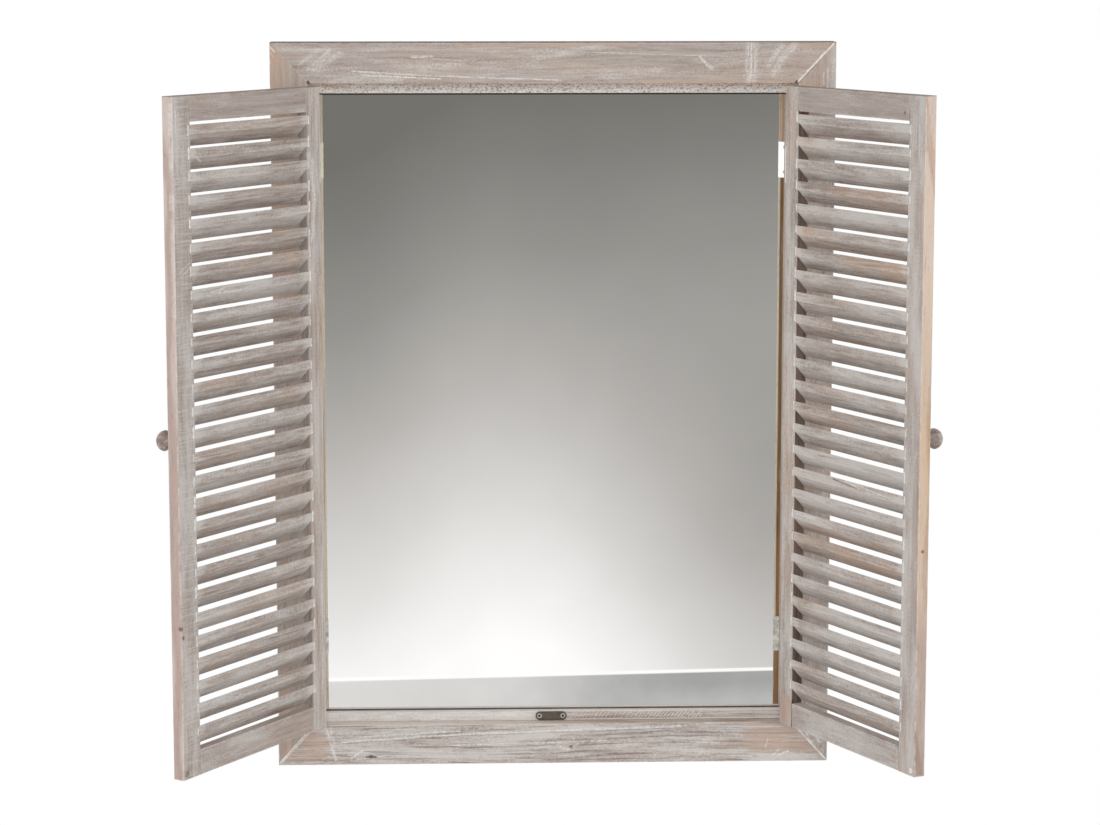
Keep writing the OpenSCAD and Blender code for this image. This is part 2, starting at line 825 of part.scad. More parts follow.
top_board();
bottom_board();
side_board(left);  // left_board
side_board(right);  // right_board
mitre_nails();
top_stop();
bottom_stop();
side_stop(left);  // left_stop
side_stop(right);  // right_stop
stop_pins();
mirror_glass();
backing_panel();
backing_screws();
hanger(left);  // left_hanger
hanger(right);  // right_hanger
hanger_screws();
strike_plate();
strike_screws();
frame_leaf(left, hinge_zs[0]);  // left_upper_frame_leaf
frame_leaf(left, hinge_zs[1]);  // left_lower_frame_leaf
frame_leaf(right, hinge_zs[0]);  // right_upper_frame_leaf
frame_leaf(right, hinge_zs[1]);  // right_lower_frame_leaf
at_hinge(left, hinge_zs[0]) hinge_pin();  // left_upper_hinge_pin
at_hinge(left, hinge_zs[1]) hinge_pin();  // left_lower_hinge_pin
at_hinge(right, hinge_zs[0]) hinge_pin();  // right_upper_hinge_pin
at_hinge(right, hinge_zs[1]) hinge_pin();  // right_lower_hinge_pin
frame_leaf_screws();
hinge_stile(left);  // left_hinge_stile
free_stile(left);  // left_free_stile
top_rail(left);  // left_top_rail
bottom_rail(left);  // left_bottom_rail
slats(left);  // left_slats
dowels(left);  // left_dowels
knob(left);  // left_knob
magnet(left);  // left_magnet
shutter_leaf(left, hinge_zs[0]);  // left_upper_shutter_leaf
shutter_leaf(left, hinge_zs[1]);  // left_lower_shutter_leaf
leaf_screws(left);  // left_leaf_screws
hinge_stile(right);  // right_hinge_stile
free_stile(right);  // right_free_stile
top_rail(right);  // right_top_rail
bottom_rail(right);  // right_bottom_rail
slats(right);  // right_slats
dowels(right);  // right_dowels
knob(right);  // right_knob
magnet(right);  // right_magnet
shutter_leaf(right, hinge_zs[0]);  // right_upper_shutter_leaf
shutter_leaf(right, hinge_zs[1]);  // right_lower_shutter_leaf
leaf_screws(right);  // right_leaf_screws
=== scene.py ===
import json
import math
import random

import bpy
from mathutils import Euler, Matrix, Vector


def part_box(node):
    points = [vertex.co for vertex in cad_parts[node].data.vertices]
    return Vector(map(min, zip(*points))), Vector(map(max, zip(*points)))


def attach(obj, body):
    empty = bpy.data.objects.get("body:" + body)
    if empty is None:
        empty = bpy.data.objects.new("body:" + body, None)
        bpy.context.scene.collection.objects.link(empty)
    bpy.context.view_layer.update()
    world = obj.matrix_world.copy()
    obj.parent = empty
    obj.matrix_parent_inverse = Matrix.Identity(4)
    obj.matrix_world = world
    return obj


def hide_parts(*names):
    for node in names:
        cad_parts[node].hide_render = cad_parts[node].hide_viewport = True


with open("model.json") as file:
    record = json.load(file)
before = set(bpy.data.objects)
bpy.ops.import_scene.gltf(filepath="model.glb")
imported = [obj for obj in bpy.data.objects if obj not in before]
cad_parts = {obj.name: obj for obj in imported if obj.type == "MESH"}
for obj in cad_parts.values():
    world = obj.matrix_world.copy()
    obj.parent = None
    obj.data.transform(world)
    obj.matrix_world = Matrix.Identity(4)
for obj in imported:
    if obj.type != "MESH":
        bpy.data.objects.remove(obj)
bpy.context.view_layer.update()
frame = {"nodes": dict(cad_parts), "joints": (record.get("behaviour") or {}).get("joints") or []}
nodes = frame["nodes"]
scene = bpy.context.scene
scene.view_settings.view_transform = "Standard"
MM = 0.001

# Sizes that the finishes and new pieces share with the frame, in millimetres and degrees
SHUTTER_T = 13.0
PIN_STAND = 2.6
PIN_GAP = 1.0
SHUTTER_W = 266.0
SHUTTER_H = 715.0
SHUTTER_TOP = -24.5
HINGE_STILE_W = 26.0
FREE_STILE_W = 30.0
RAIL_H = 27.0
SLAT_PITCH = 24.3
SLAT_COUNT = 27
SLAT_T = 6.8
SLAT_ANGLE = 48.0
SLAT_HOUSE = 3.5
SLAT_NOSE = SLAT_T / math.cos(math.radians(SLAT_ANGLE))
SLAT_RISE = SLAT_NOSE + SHUTTER_T * math.tan(math.radians(SLAT_ANGLE))
SLAT_TOP = SHUTTER_TOP - RAIL_H - (SHUTTER_H - 2 * RAIL_H - SLAT_RISE - (SLAT_COUNT - 1) * SLAT_PITCH) / 2
INNER_FACE = PIN_STAND + SHUTTER_T
OPEN_X = 269.0
TOP_Z = 22.5
OPEN_TOP = -22.5
OPEN_BASE = -741.5
FRONT_Y = -36.0
GLASS_Y = -9.0
KNOB_H = 22.0
KNOB_INSET = 13.5
SKIN = 0.4
SKIN_FADE = 1.0
EVERYWHERE = ("z", -2000, -1000)


# ---- Where each body's own axes lie ----

def swing_of(side):
    """The pin's place, and the turn about Z that opened the shutter, from the record's joint."""
    joint = next(j for j in frame["joints"] if j["name"] == side + "_shutter_swing")
    pin = Vector(joint["pos_m"])
    turn = -math.radians(joint["range_deg"][0]) * joint["axis"][2]
    return Vector((pin.x, pin.y, 0)), turn


STILL = (Vector((0, 0, 0)), 0.0)
PLACES = {"frame": STILL, "left": swing_of("left"), "right": swing_of("right")}


def place_matrix(place):
    return Matrix.Translation(place[0]) @ Matrix.Rotation(place[1], 4, "Z")


def own_box(node, place):
    """Lowest and highest corner of a node along its body's own axes."""
    back = place_matrix(place).inverted()
    points = [back @ v.co for v in nodes[node].data.vertices]
    low = Vector([min(p[i] for p in points) for i in range(3)])
    high = Vector([max(p[i] for p in points) for i in range(3)])
    return low, high


# ---- Node helpers ----

def paint(red, green, blue):
    """A colour as a paint card gives it, 0 to 255, in Blender's linear values."""
    def linear(value):
        value /= 255
        return value / 12.92 if value <= 0.04045 else ((value + 0.055) / 1.055) ** 2.4
    return (linear(red), linear(green), linear(blue), 1.0)


def join(tree, value, socket):
    if isinstance(value, bpy.types.NodeSocket):
        tree.links.new(value, socket)
    else:
        socket.default_value = value


def put(tree, kind, inputs, **settings):
    node = tree.nodes.new("ShaderNode" + kind)
    for name, value in settings.items():
        setattr(node, name, value)
    for name, value in inputs.items():
        join(tree, value, node.inputs[name])
    return node


def calc(tree, how, *values, clamp=False):
    node = tree.nodes.new("ShaderNodeMath")
    node.operation = how
    node.use_clamp = clamp
    for socket, value in zip(node.inputs, values):
        join(tree, value, socket)
    return node.outputs[0]


def times(tree, value, share, clamp=False):
    return calc(tree, "MULTIPLY", value, share, clamp=clamp)


def times_plus(tree, value, share, base):
    """value * share + base"""
    return calc(tree, "MULTIPLY_ADD", value, share, base)


def minus(tree, value, less):
    return calc(tree, "SUBTRACT", value, less)


def larger(tree, value, other):
    return calc(tree, "MAXIMUM", value, other)


def turn_of(tree, how, *values):
    """Vector arithmetic; the vector result."""
    return put(tree, "VectorMath", dict(enumerate(values)), operation=how).outputs[0]


def length_of(tree, how, *values):
    """Vector arithmetic; the plain number that DISTANCE or DOT_PRODUCT gives."""
    return put(tree, "VectorMath", dict(enumerate(values)), operation=how).outputs[1]


def grade(tree, value, low, high, start=0.0, end=1.0):
    """Runs smoothly from start to end as the value goes from low to high."""
    node = put(tree, "MapRange", {0: value, 1: low, 2: high, 3: start, 4: end},
               interpolation_type="SMOOTHSTEP")
    return node.outputs[0]


def streaks(tree, place, along, across, detail=2.0, rough=0.55, warp=0.0, shift=(0, 0, 0), turn=(0, 0, 0)):
    """Noise drawn out along the grain; along and across count its waves to the metre."""
    mapped = put(tree, "Mapping", {"Vector": place, "Location": shift, "Rotation": turn,
                                   "Scale": (along, across, across)})
    node = put(tree, "TexNoise", {"Vector": mapped.outputs[0], "Scale": 1.0, "Detail": detail,
                                  "Roughness": rough, "Distortion": warp})
    return node.outputs[0]


def coat(tree, amount, under, over, how="MIX"):
    node = tree.nodes.new("ShaderNodeMix")
    node.data_type = "RGBA"
    node.blend_type = how
    join(tree, amount, node.inputs[0])
    join(tree, under, node.inputs[6])
    join(tree, over, node.inputs[7])
    return node.outputs[2]


def card(tree, value, stops):
    """A colour card: each stop is (place, colour)."""
    node = tree.nodes.new("ShaderNodeValToRGB")
    join(tree, value, node.inputs[0])
    ramp = node.color_ramp
    while len(ramp.elements) < len(stops):
        ramp.elements.new(0.5)
    for element, (where, colour) in zip(ramp.elements, stops):
        element.position = where
        element.color = colour
    return node.outputs[0]


def pack(tree, x, y, z):
    return put(tree, "CombineXYZ", {0: x, 1: y, 2: z}).outputs[0]


def new_finish(name):
    """A material with its shader linked up, and the piece's own coordinates."""
    material = bpy.data.materials.new(name)
    material.use_nodes = True
    tree = material.node_tree
    tree.nodes.clear()
    shader = tree.nodes.new("ShaderNodeBsdfPrincipled")
    out = tree.nodes.new("ShaderNodeOutputMaterial")
    tree.links.new(shader.outputs[0], out.inputs[0])
    place = tree.nodes.new("ShaderNodeTexCoord").outputs["Object"]
    return material, tree, shader, place


def dress(piece, material):
    piece.data.materials.clear()
    piece.data.materials.append(material)


def new_group(name, given, gives):
    """A node group; given lists (name, kind, value) and gives lists (name, kind)."""
    group = bpy.data.node_groups.new(name, "ShaderNodeTree")
    for label, kind, value in given:
        socket = group.interface.new_socket(label, in_out="INPUT", socket_type="NodeSocket" + kind)
        if value is not None:
            socket.default_value = value
    for label, kind in gives:
        group.interface.new_socket(label, in_out="OUTPUT", socket_type="NodeSocket" + kind)
    return group, group.nodes.new("NodeGroupInput").outputs, group.nodes.new("NodeGroupOutput").inputs


def use_group(tree, group, inputs):
    node = tree.nodes.new("ShaderNodeGroup")
    node.node_tree = group
    for label, value in inputs.items():
        join(tree, value, node.inputs[label])
    return node.outputs


# ---- Whitewashed pine ----

PLAIN_PINE = (205, 176, 148)


def stroke_group():
    """One stroke of a brush or a knife, from a spot the way it runs, with the tracks of its bristles."""
    group, given, result = new_group(
        "stroke", (("Spot", "Vector", None), ("From", "Vector", None), ("Ahead", "Vector", None),
                   ("Over", "Vector", None), ("Length", "Float", 0.01), ("Width", "Float", 0.001),
                   ("Strength", "Float", 1.0)),
        (("Amount", "Float"),))
    off = turn_of(group, "SUBTRACT", given["Spot"], given["From"])
    along = length_of(group, "DOT_PRODUCT", off, given["Ahead"])
    aside = length_of(group, "DOT_PRODUCT", off, given["Over"])
    half = times(group, given["Length"], 0.5)
    past = minus(group, calc(group, "ABSOLUTE", minus(group, along, half)), half)
    away = length_of(group, "LENGTH", pack(group, larger(group, past, 0.0), aside, 0.0))
    bristle = streaks(group, pack(group, along, aside, times(group, given["Length"], 7.0)),
                      30, 700, detail=2, rough=0.7)
    ragged = times_plus(group, minus(group, bristle, 0.5), times(group, given["Width"], 0.9), away)
    amount = grade(group, ragged, given["Width"], times(group, given["Width"], 0.1))
    amount = times(group, amount, grade(group, bristle, 0.38, 0.54, 0.1, 1.0))
    amount = times(group, amount, given["Strength"], clamp=True)
    group.links.new(amount, result["Amount"])
    return group


STROKE = stroke_group()


def wandering_grain(group, place):
    """The grain wanders a few millimetres across the board on its way along it."""
    drift = put(group, "Mapping", {"Vector": place, "Scale": (5, 14, 14)})
    drift = put(group, "TexNoise", {"Vector": drift.outputs[0], "Scale": 1.0, "Detail": 1.0}).outputs[1]
    drift = turn_of(group, "MULTIPLY", turn_of(group, "SUBTRACT", drift, (0.5, 0.5, 0.5)), (0, 0.012, 0.012))
    return turn_of(group, "ADD", place, drift)


def late_wood(group, grain):
    """The dark side of year rings, round a pith that lies behind the board and a little askew."""
    log = put(group, "Mapping", {"Vector": grain, "Location": (0, 0.013, 0.047),
                                 "Rotation": (0, 0.045, 0.03), "Scale": (0.12, 1, 1)})
    rings = put(group, "TexWave", {"Vector": log.outputs[0], "Scale": 52.0, "Distortion": 3.0,
                                   "Detail": 2.0, "Detail Scale": 0.35, "Detail Roughness": 0.6},
                wave_type="RINGS", rings_direction="X").outputs[1]
    return grade(group, rings, 0.62, 0.97)


def grain_noises(group, place, grain):
    """The noises that wood and paint share: some follow the wandering grain, the others run straight."""
    return {"fibre": streaks(group, grain, 28, 430, detail=3, rough=0.7),
            "strand": streaks(group, grain, 5, 120, detail=3, rough=0.6, shift=(3, 1, 2)),
            "line": streaks(group, grain, 11, 370, detail=2, rough=0.6, shift=(8, 8, 2)),
            "grit": streaks(group, place, 380, 460, detail=3, rough=0.8, shift=(1, 5, 9)),
            "smear": streaks(group, place, 8, 52, detail=4, rough=0.7, shift=(7, 4, 1)),
            "cloud": streaks(group, place, 15, 24, detail=3, rough=0.6, shift=(9, 3, 6)),
            "hue": streaks(group, place, 4, 15, detail=2, rough=0.6, shift=(2, 8, 5)),
            "stripe": streaks(group, place, 3, 150, detail=3, rough=0.6, shift=(4, 4, 9)),
            "fleck": streaks(group, place, 340, 600, detail=2, rough=0.7, shift=(5, 5, 1))}


def greyed_pine(group, given, noise, body, late, worn):
    """The wood under the paint, greyer or warmer from place to place."""
    wood = card(group, body, ((0.28, paint(132, 116, 105)), (0.47, paint(177, 165, 157)),
                              (0.68, paint(204, 196, 190))))
    wood = coat(group, times(group, late, 0.22), wood, paint(152, 132, 119))
    warm = times(group, grade(group, noise["hue"], 0.46, 0.66), given["Warm"], clamp=True)
    warm = larger(group, warm, times(group, worn, 0.85))
    return coat(group, warm, wood, paint(198, 168, 146))


def paint_cover(group, given, noise, worn):
    """Where thin white paint covers: smears along the grain, broken up by the pores, and fine pale lines."""
    cover = times(group, noise["smear"], 0.5)
    cover = times_plus(group, noise["cloud"], 0.2, cover)
    cover = times_plus(group, noise["grit"], 0.3, cover)
    cover = times_plus(group, minus(group, given["Wash"], 0.5), 0.3, cover)
    cover = times_plus(group, worn, -0.2, cover)
    pale = times(group, grade(group, noise["line"], 0.56, 0.66), given["Lines"], clamp=True)
    pale = larger(group, pale, times(group, grade(group, noise["stripe"], 0.50, 0.62), given["Stripes"]))
    pale = larger(group, pale, times(group, grade(group, noise["fleck"], 0.50, 0.58), given["Speckle"]))
    return larger(group, grade(group, cover, 0.47, 0.66), pale)


def paint_gaps(group, given, noise):
    """Thin dark lines and flecks beside the pale ones, where the paint never reached."""
    faint = times(group, grade(group, noise["line"], 0.44, 0.34), given["Lines"], clamp=True)
    faint = larger(group, faint, times(group, grade(group, noise["fleck"], 0.47, 0.38), given["Speckle"]))
    return larger(group, faint, times(group, grade(group, noise["stripe"], 0.46, 0.34), given["Stripes"]))


def painted_pine(group, given, noise, wood, white, worn):
    """Wood, thin paint, gaps, thick coats of paint, and worn patches, in that order."""
    painted = coat(group, times(group, white, 0.75), wood, paint(222, 217, 213))
    painted = coat(group, times(group, paint_gaps(group, given, noise), 0.55), painted, paint(120, 100, 88))
    broken = grade(group, noise["fleck"], 0.42, 0.52, times_plus(group, given["Speckle"], -0.6, 0.95), 1.0)
    thick = times(group, given["Coat"], broken, clamp=True)
    fresh = coat(group, grade(group, noise["fibre"], 0.3, 0.7), paint(218, 213, 209), paint(238, 235, 232))
    painted = coat(group, thick, painted, fresh)
    return coat(group, times(group, worn, 0.75), painted, paint(196, 174, 160))


def bare_pine(group, given, body, late):
    """Pine that the wash missed."""
    plain = coat(group, times(group, late, 0.35), given["Bare wood"], paint(170, 130, 96), "MULTIPLY")
    return coat(group, grade(group, body, 0.38, 0.62, 0.0, 0.25), plain, given["Bare wood"], "SCREEN")


def pine_group():
    """Pine with its grain along X, washed with thin white paint and rubbed back."""
    group, given, result = new_group(
        "whitewashed pine",
        (("Place", "Vector", None), ("Wash", "Float", 0.5), ("Warm", "Float", 0.3), ("Figure", "Float", 1.0),
         ("Brush", "Float", 1.0), ("Stripes", "Float", 0.0), ("Lines", "Float", 0.2), ("Arris", "Float", 0.0),
         ("Bare", "Float", 0.0), ("Bare wood", "Color", paint(*PLAIN_PINE)), ("Dark", "Float", 0.0),
         ("Sawn", "Float", 0.0), ("Knot", "Float", 0.0), ("Stroke", "Float", 0.0), ("Slit", "Float", 0.0),
         ("Worn", "Float", 0.0), ("Speckle", "Float", 0.0), ("Coat", "Float", 0.0)),
        (("Colour", "Color"), ("Roughness", "Float"), ("Normal", "Vector")))
    place = given["Place"]
    grain = wandering_grain(group, place)
    noise = grain_noises(group, place, grain)
    late = late_wood(group, grain)
    body = times(group, times(group, minus(group, noise["fibre"], 0.5), given["Brush"]), 0.36)
    body = times_plus(group, minus(group, noise["strand"], 0.5), 0.42, body)
    body = times_plus(group, minus(group, noise["grit"], 0.5), 0.22, body)
    body = times_plus(group, body, given["Figure"], 0.5)
    worn = times(group, given["Worn"], grade(group, noise["smear"], 0.66, 0.44, 0.3, 1.0))
    wood = greyed_pine(group, given, noise, body, late, worn)
    white = paint_cover(group, given, noise, worn)
    painted = painted_pine(group, given, noise, wood, white, worn)

    # Saw marks run straight across the grain
    sawn = streaks(group, place, 640, 22, detail=2, shift=(1, 6, 3), turn=(0, 0, 0.16))
    sawn = times(group, grade(group, sawn, 0.48, 0.62), given["Sawn"])
    painted = coat(group, times(group, sawn, 0.5), painted, paint(218, 212, 208))

    bare = times(group, given["Bare"], grade(group, noise["smear"], 0.68, 0.50, 0.55, 1.0), clamp=True)
    mixed = coat(group, bare, painted, bare_pine(group, given, body, late))

    # Rubbed arrises, knots, dark pores, and the marks of the brush and the knife
    rub = streaks(group, place, 60, 90, detail=3, rough=0.7, shift=(4, 2, 8))
    rubbed = times(group, given["Arris"], grade(group, rub, 0.42, 0.60, 0.05, 1.0), clamp=True)
    mixed = coat(group, times(group, rubbed, 0.7), mixed, paint(226, 215, 204))
    mixed = coat(group, times(group, given["Knot"], 0.85), mixed, paint(128, 94, 70))
    # Dark brown where Dark is given: painted shade, with unwashed wood, on the stiles' sides between the
    # slats, painted shade deep between the slats and in the battens' corner against the glass, and darker top
    # faces
    dark = coat(group, grade(group, body, 0.36, 0.62), paint(84, 69, 59), paint(126, 108, 96))
    mixed = coat(group, given["Dark"], mixed, dark)
    pore = grade(group, streaks(group, grain, 60, 1000, detail=1, shift=(6, 6, 6)), 0.66, 0.74)
    mixed = coat(group, times(group, pore, 0.4), mixed, paint(116, 98, 86))
    dry = times(group, given["Stroke"], grade(group, noise["grit"], 0.38, 0.56, 0.25, 1.0), clamp=True)
    mixed = coat(group, times(group, dry, 0.85), mixed, paint(238, 234, 230))
    mixed = coat(group, times(group, given["Slit"], 0.85), mixed, paint(62, 48, 40))

    rough = times_plus(group, noise["fibre"], 0.12, times_plus(group, white, 0.1, 0.68))
    height = times_plus(group, late, 0.3, times(group, noise["fibre"], 0.8))
    for part, lift in ((pore, -0.5), (white, 0.3), (dry, 0.5), (sawn, 0.4), (given["Knot"], 0.5),
                       (given["Slit"], -1.5)):
        height = times_plus(group, part, lift, height)
    normal = put(group, "Bump", {"Height": height, "Strength": 0.55, "Distance": 0.0004}).outputs[0]
    group.links.new(mixed, result["Colour"])
    group.links.new(rough, result["Roughness"])
    group.links.new(normal, result["Normal"])
    return group


PINE = pine_group()


def own_axes(tree, coords, place):
    """Coordinates along the body's own axes, split in three."""
    if place[1] or place[0].length:
        coords = put(tree, "Mapping", {"Vector": coords, "Location": place[0], "Rotation": (0, 0, place[1])},
                     vector_type="TEXTURE").outputs[0]
    return put(tree, "SeparateXYZ", {0: coords}).outputs


def past_face(tree, value, low, high):
    """How far a value is past the nearer of two faces; nought on a face, less inside."""
    middle = (low + high) / 2
    reach = calc(tree, "ABSOLUTE", minus(tree, value, middle))
    return minus(tree, reach, (high - low) / 2)


def near_arris(tree, first, second, third=None, width=1.6):
    """1 along the edges where two faces meet, fading over the width in millimetres."""
    low, high = calc(tree, "MINIMUM", first, second), larger(tree, first, second)
    if third is not None:
        low = larger(tree, low, calc(tree, "MINIMUM", high, third))
    return grade(tree, low, -width * MM, -0.35 * width * MM)


def knot_marks(tree, spot, knots):
    """Knots as (x, y, z, radius) in millimetres along the body's own axes."""
    total = 0.0
    ripple = streaks(tree, spot, 260, 260, detail=2)
    for x, y, z, radius in knots:
        away = length_of(tree, "DISTANCE", spot, (x * MM, y * MM, z * MM))
        away = times_plus(tree, ripple, -0.5 * radius * MM, away)
        mark = grade(tree, away, radius * 0.75 * MM, radius * 0.2 * MM)
        total = larger(tree, total, mark)
    return total


def stroke_marks(tree, x, z, marks):
    """Strokes as (x, z, x, z, half width, strength) in millimetres along the body's own axes."""
    spot = pack(tree, x, z, 0.0)
    total = 0.0
    for x1, z1, x2, z2, width, strength in marks:
        run = Vector((x2 - x1, z2 - z1, 0)) * MM
        ahead = run.normalized()
        mark = use_group(tree, STROKE, {"Spot": spot, "From": (x1 * MM, z1 * MM, 0), "Ahead": ahead,
                                        "Over": (ahead.y, -ahead.x, 0), "Length": run.length,
                                        "Width": width * MM, "Strength": strength})["Amount"]
        total = larger(tree, total, mark)
    return total


def comb_marks(tree, x, z, combs):
    """Short strokes side by side, as (count, x, z, step, run in x, run in z, half width, strength)."""
    total = 0.0
    for count, x1, z1, step, run_x, run_z, width, strength in combs:
        rise = minus(tree, z, z1 * MM)
        aside = times_plus(tree, rise, -run_x / run_z, minus(tree, x, x1 * MM))
        number = calc(tree, "ROUND", calc(tree, "DIVIDE", aside, step * MM))
        roll = put(tree, "TexWhiteNoise", {"W": number}, noise_dimensions="1D").outputs[0]
        rough = streaks(tree, pack(tree, aside, z, 0.0), 700, 160, detail=2, rough=0.7)
        away = times_plus(tree, rough, 2.4 * width * MM, calc(tree, "PINGPONG", aside, step / 2 * MM))
        mark = grade(tree, away, 2.1 * width * MM, 1.5 * width * MM)
        top = minus(tree, rise, times_plus(tree, roll, 0.45 * run_z * MM, 0.55 * run_z * MM))
        for value, start, end in ((rise, -1, 0.5), (top, 1, -0.5), (number, -0.9, -0.5),
                                  (number, count - 0.1, count - 0.5)):
            share = MM if value in (rise, top) else 1
            mark = times(tree, mark, grade(tree, value, start * share, end * share))
        mark = times(tree, mark, times_plus(tree, roll, 0.5 * strength, 0.6 * strength), clamp=True)
        total = larger(tree, total, mark)
    return total


def at_faces(tree, axes, faces):
    """1, or the face's own share, where the wood is past a face.
    Each face is (axis, start, end) or (axis, start, end, share), in millimetres."""
    total = 0.0
    for axis, start, end, *share in faces:
        past = grade(tree, axes["xyz".index(axis)], start * MM, end * MM, 0.0, *(share or (1.0,)))
        total = larger(tree, total, past)
    return total


def skin(axis, face, into, *share):
    """A face's skin, as at_faces takes it; into is 1 where the wood lies above it on the axis, else -1."""
    return (axis, face + into * SKIN_FADE, face + into * SKIN, *share)


def shade_of(tree, axes, colour):
    """A plain colour, one that changes along an axis, as (axis, ((place, colour), ...)),
    or two of them that meet on a line, as (axis, start, end, below, above)."""
    if len(colour) == 3:
        return paint(*colour)
    if len(colour) == 5:
        axis, start, end, below, above = colour
        share = grade(tree, axes["xyz".index(axis)], start * MM, end * MM)
        return coat(tree, share, shade_of(tree, axes, below), shade_of(tree, axes, above))
    axis, stops = colour
    first, last = stops[0][0], stops[-1][0]
    share = put(tree, "MapRange", {0: axes["xyz".index(axis)], 1: first * MM, 2: last * MM}).outputs[0]
    return card(tree, share, [((spot - first) / (last - first), paint(*shade)) for spot, shade in stops])


def finish_board(node, body, grain, seed, wash=0.5, warm=0.35, figure=1.0, lines=0.15, sawn=0.0, brush=1.0,
                 stripes=0.0, speckle=0.0, bare=(), bare_wood=PLAIN_PINE, dark=(), coats=(), reach=1.0,
                 knots=(), strokes=(), combs=(), slits=(), worn=()):
    """Gives a board its whitewashed pine. bare, dark and coats are faces and bands. Knots lie in the wood,
    and the other marks on the face that shows, reach deep. All are in millimetres on the body's own axes."""
    place = PLACES[body]
    low, high = own_box(node, place)
    material, tree, shader, coords = new_finish(node + " pine")
    axes = own_axes(tree, coords, place)
    x, y, z = axes[:3]
    edges = near_arris(tree, *[past_face(tree, value, low[i], high[i]) for i, value in enumerate((x, y, z))])
    along, across, deep = (x, y, z) if grain == "x" else (z, x, y)
    rolls = random.Random(seed)
    shift = (rolls.uniform(1, 9), rolls.uniform(-0.012, 0.012), rolls.uniform(-0.008, 0.012))
    given = {"Place": turn_of(tree, "ADD", pack(tree, along, across, deep), shift),
             "Wash": wash, "Warm": warm, "Figure": figure, "Lines": lines, "Arris": edges, "Sawn": sawn,
             "Brush": brush, "Stripes": stripes, "Speckle": speckle,
             "Bare wood": shade_of(tree, axes, bare_wood)}
    if body == "frame":
        shown = grade(tree, y, low.y + (reach + 2) * MM, low.y + reach * MM)
    else:
        shown = grade(tree, y, high.y - (reach + 2) * MM, high.y - reach * MM)
    for label, faces in (("Bare", bare), ("Dark", dark), ("Coat", coats)):
        if faces:
            given[label] = at_faces(tree, axes, faces)
    for label, marks in (("Worn", worn), ("Slit", slits)):
        if marks:
            given[label] = times(tree, stroke_marks(tree, x, z, marks), shown)
    if knots:
        given["Knot"] = knot_marks(tree, pack(tree, x, y, z), knots)
    if strokes or combs:
        marks = larger(tree, stroke_marks(tree, x, z, strokes), comb_marks(tree, x, z, combs))
        given["Stroke"] = times(tree, marks, shown)
    wear_pine(nodes[node], material, tree, shader, given)


def wear_pine(piece, material, tree, shader, given):
    wood = use_group(tree, PINE, given)
    tree.links.new(wood["Colour"], shader.inputs["Base Color"])
    tree.links.new(wood["Roughness"], shader.inputs["Roughness"])
    tree.links.new(wood["Normal"], shader.inputs["Normal"])
    shader.inputs["Specular IOR Level"].default_value = 0.3
    dress(piece, material)


def finish_slats(side, seed, looks):
    """Each slat gets its own length of pine, by the slanted band that it lies in, with painted shade that
    darkens it deeper in between the slats.
    """
    node = side + "_slats"
    place = PLACES[side]
    low, high = own_box(node, place)
    material, tree, shader, coords = new_finish(node + " pine")
    x, y, z = own_axes(tree, coords, place)[:3]
    inner = INNER_FACE * MM
    lean = math.radians(SLAT_ANGLE)
    level = minus(tree, z, times(tree, minus(tree, y, inner), math.tan(lean)))
    count = calc(tree, "DIVIDE", minus(tree, SLAT_TOP * MM, level), SLAT_PITCH * MM)
    index = calc(tree, "FLOOR", calc(tree, "ADD", count, 0.2))
    depth = times(tree, minus(tree, count, index), SLAT_PITCH * MM)
    draw = put(tree, "TexWhiteNoise", {"W": calc(tree, "ADD", index, seed)}, noise_dimensions="1D")
    red, green, blue = put(tree, "SeparateColor", {0: draw.outputs[1]}).outputs[:3]
    down = calc(tree, "DIVIDE", minus(tree, inner, y), math.cos(lean))
    spot = pack(tree, times_plus(tree, red, 7.0, x), times_plus(tree, green, 0.05, down),
                times_plus(tree, blue, 0.03, depth))
    nose = past_face(tree, y, inner - SHUTTER_T * MM, inner)
    edges = near_arris(tree, nose, past_face(tree, depth, 0.0, SLAT_NOSE * MM), width=1.3)
    ends = grade(tree, past_face(tree, x, low[0], high[0]), -0.020, -0.004, 0.0, 0.3)
    given = {"Place": spot, "Lines": 0.45, "Figure": 1.25, "Brush": 1.4, "Arris": times(tree, edges, 0.6),
             "Wash": calc(tree, "ADD", times_plus(tree, green, 0.4, 0.5), ends),
             "Warm": times(tree, blue, looks["warm"]),
             # Painted shade: darker deeper in between the slats
             "Dark": grade(tree, down, 0.003, 0.017, 0.0, looks["deep"]),
             "Stroke": stroke_marks(tree, x, z, looks["strokes"]),
             "Slit": stroke_marks(tree, x, z, looks["slits"]),
             "Knot": knot_marks(tree, pack(tree, x, 0.0, z), looks["knots"])}
    wear_pine(nodes[node], material, tree, shader, given)


# ---- Metal, glass and board ----

def mirror_finish():
    """Silvered glass with a faint cloudy film, and a painted shadow line just under the top batten."""
    material, tree, shader, coords = new_finish("silvered glass")
    film = streaks(tree, coords, 3, 3, detail=4, rough=0.6)
    tint = card(tree, film, ((0.32, (0.905, 0.903, 0.897, 1)), (0.66, (0.985, 0.983, 0.977, 1))))
    z = put(tree, "SeparateXYZ", {0: coords}).outputs[2]
    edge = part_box("top_stop")[0].z
    # Painted shadow: a thin dark line on the glass just below the top batten
    painted_shadow_line = grade(tree, z, edge - 2.7 * MM, edge - 1.8 * MM, 0.0, 0.9)
    tint = coat(tree, painted_shadow_line, tint, paint(78, 80, 70))
    tree.links.new(tint, shader.inputs["Base Color"])
    shader.inputs["Metallic"].default_value = 1.0
    tree.links.new(grade(tree, film, 0.35, 0.7, 0.0, 0.012), shader.inputs["Roughness"])
    return material


def link_finish(tree, shader, colour, rough, relief, strength, depth):
    """Links a surface's colour, roughness and fine relief to its shader; the depth is in millimetres."""
    tree.links.new(colour, shader.inputs["Base Color"])
    tree.links.new(rough, shader.inputs["Roughness"])
    bump = put(tree, "Bump", {"Height": relief, "Strength": strength, "Distance": depth * MM})
    tree.links.new(bump.outputs[0], shader.inputs["Normal"])


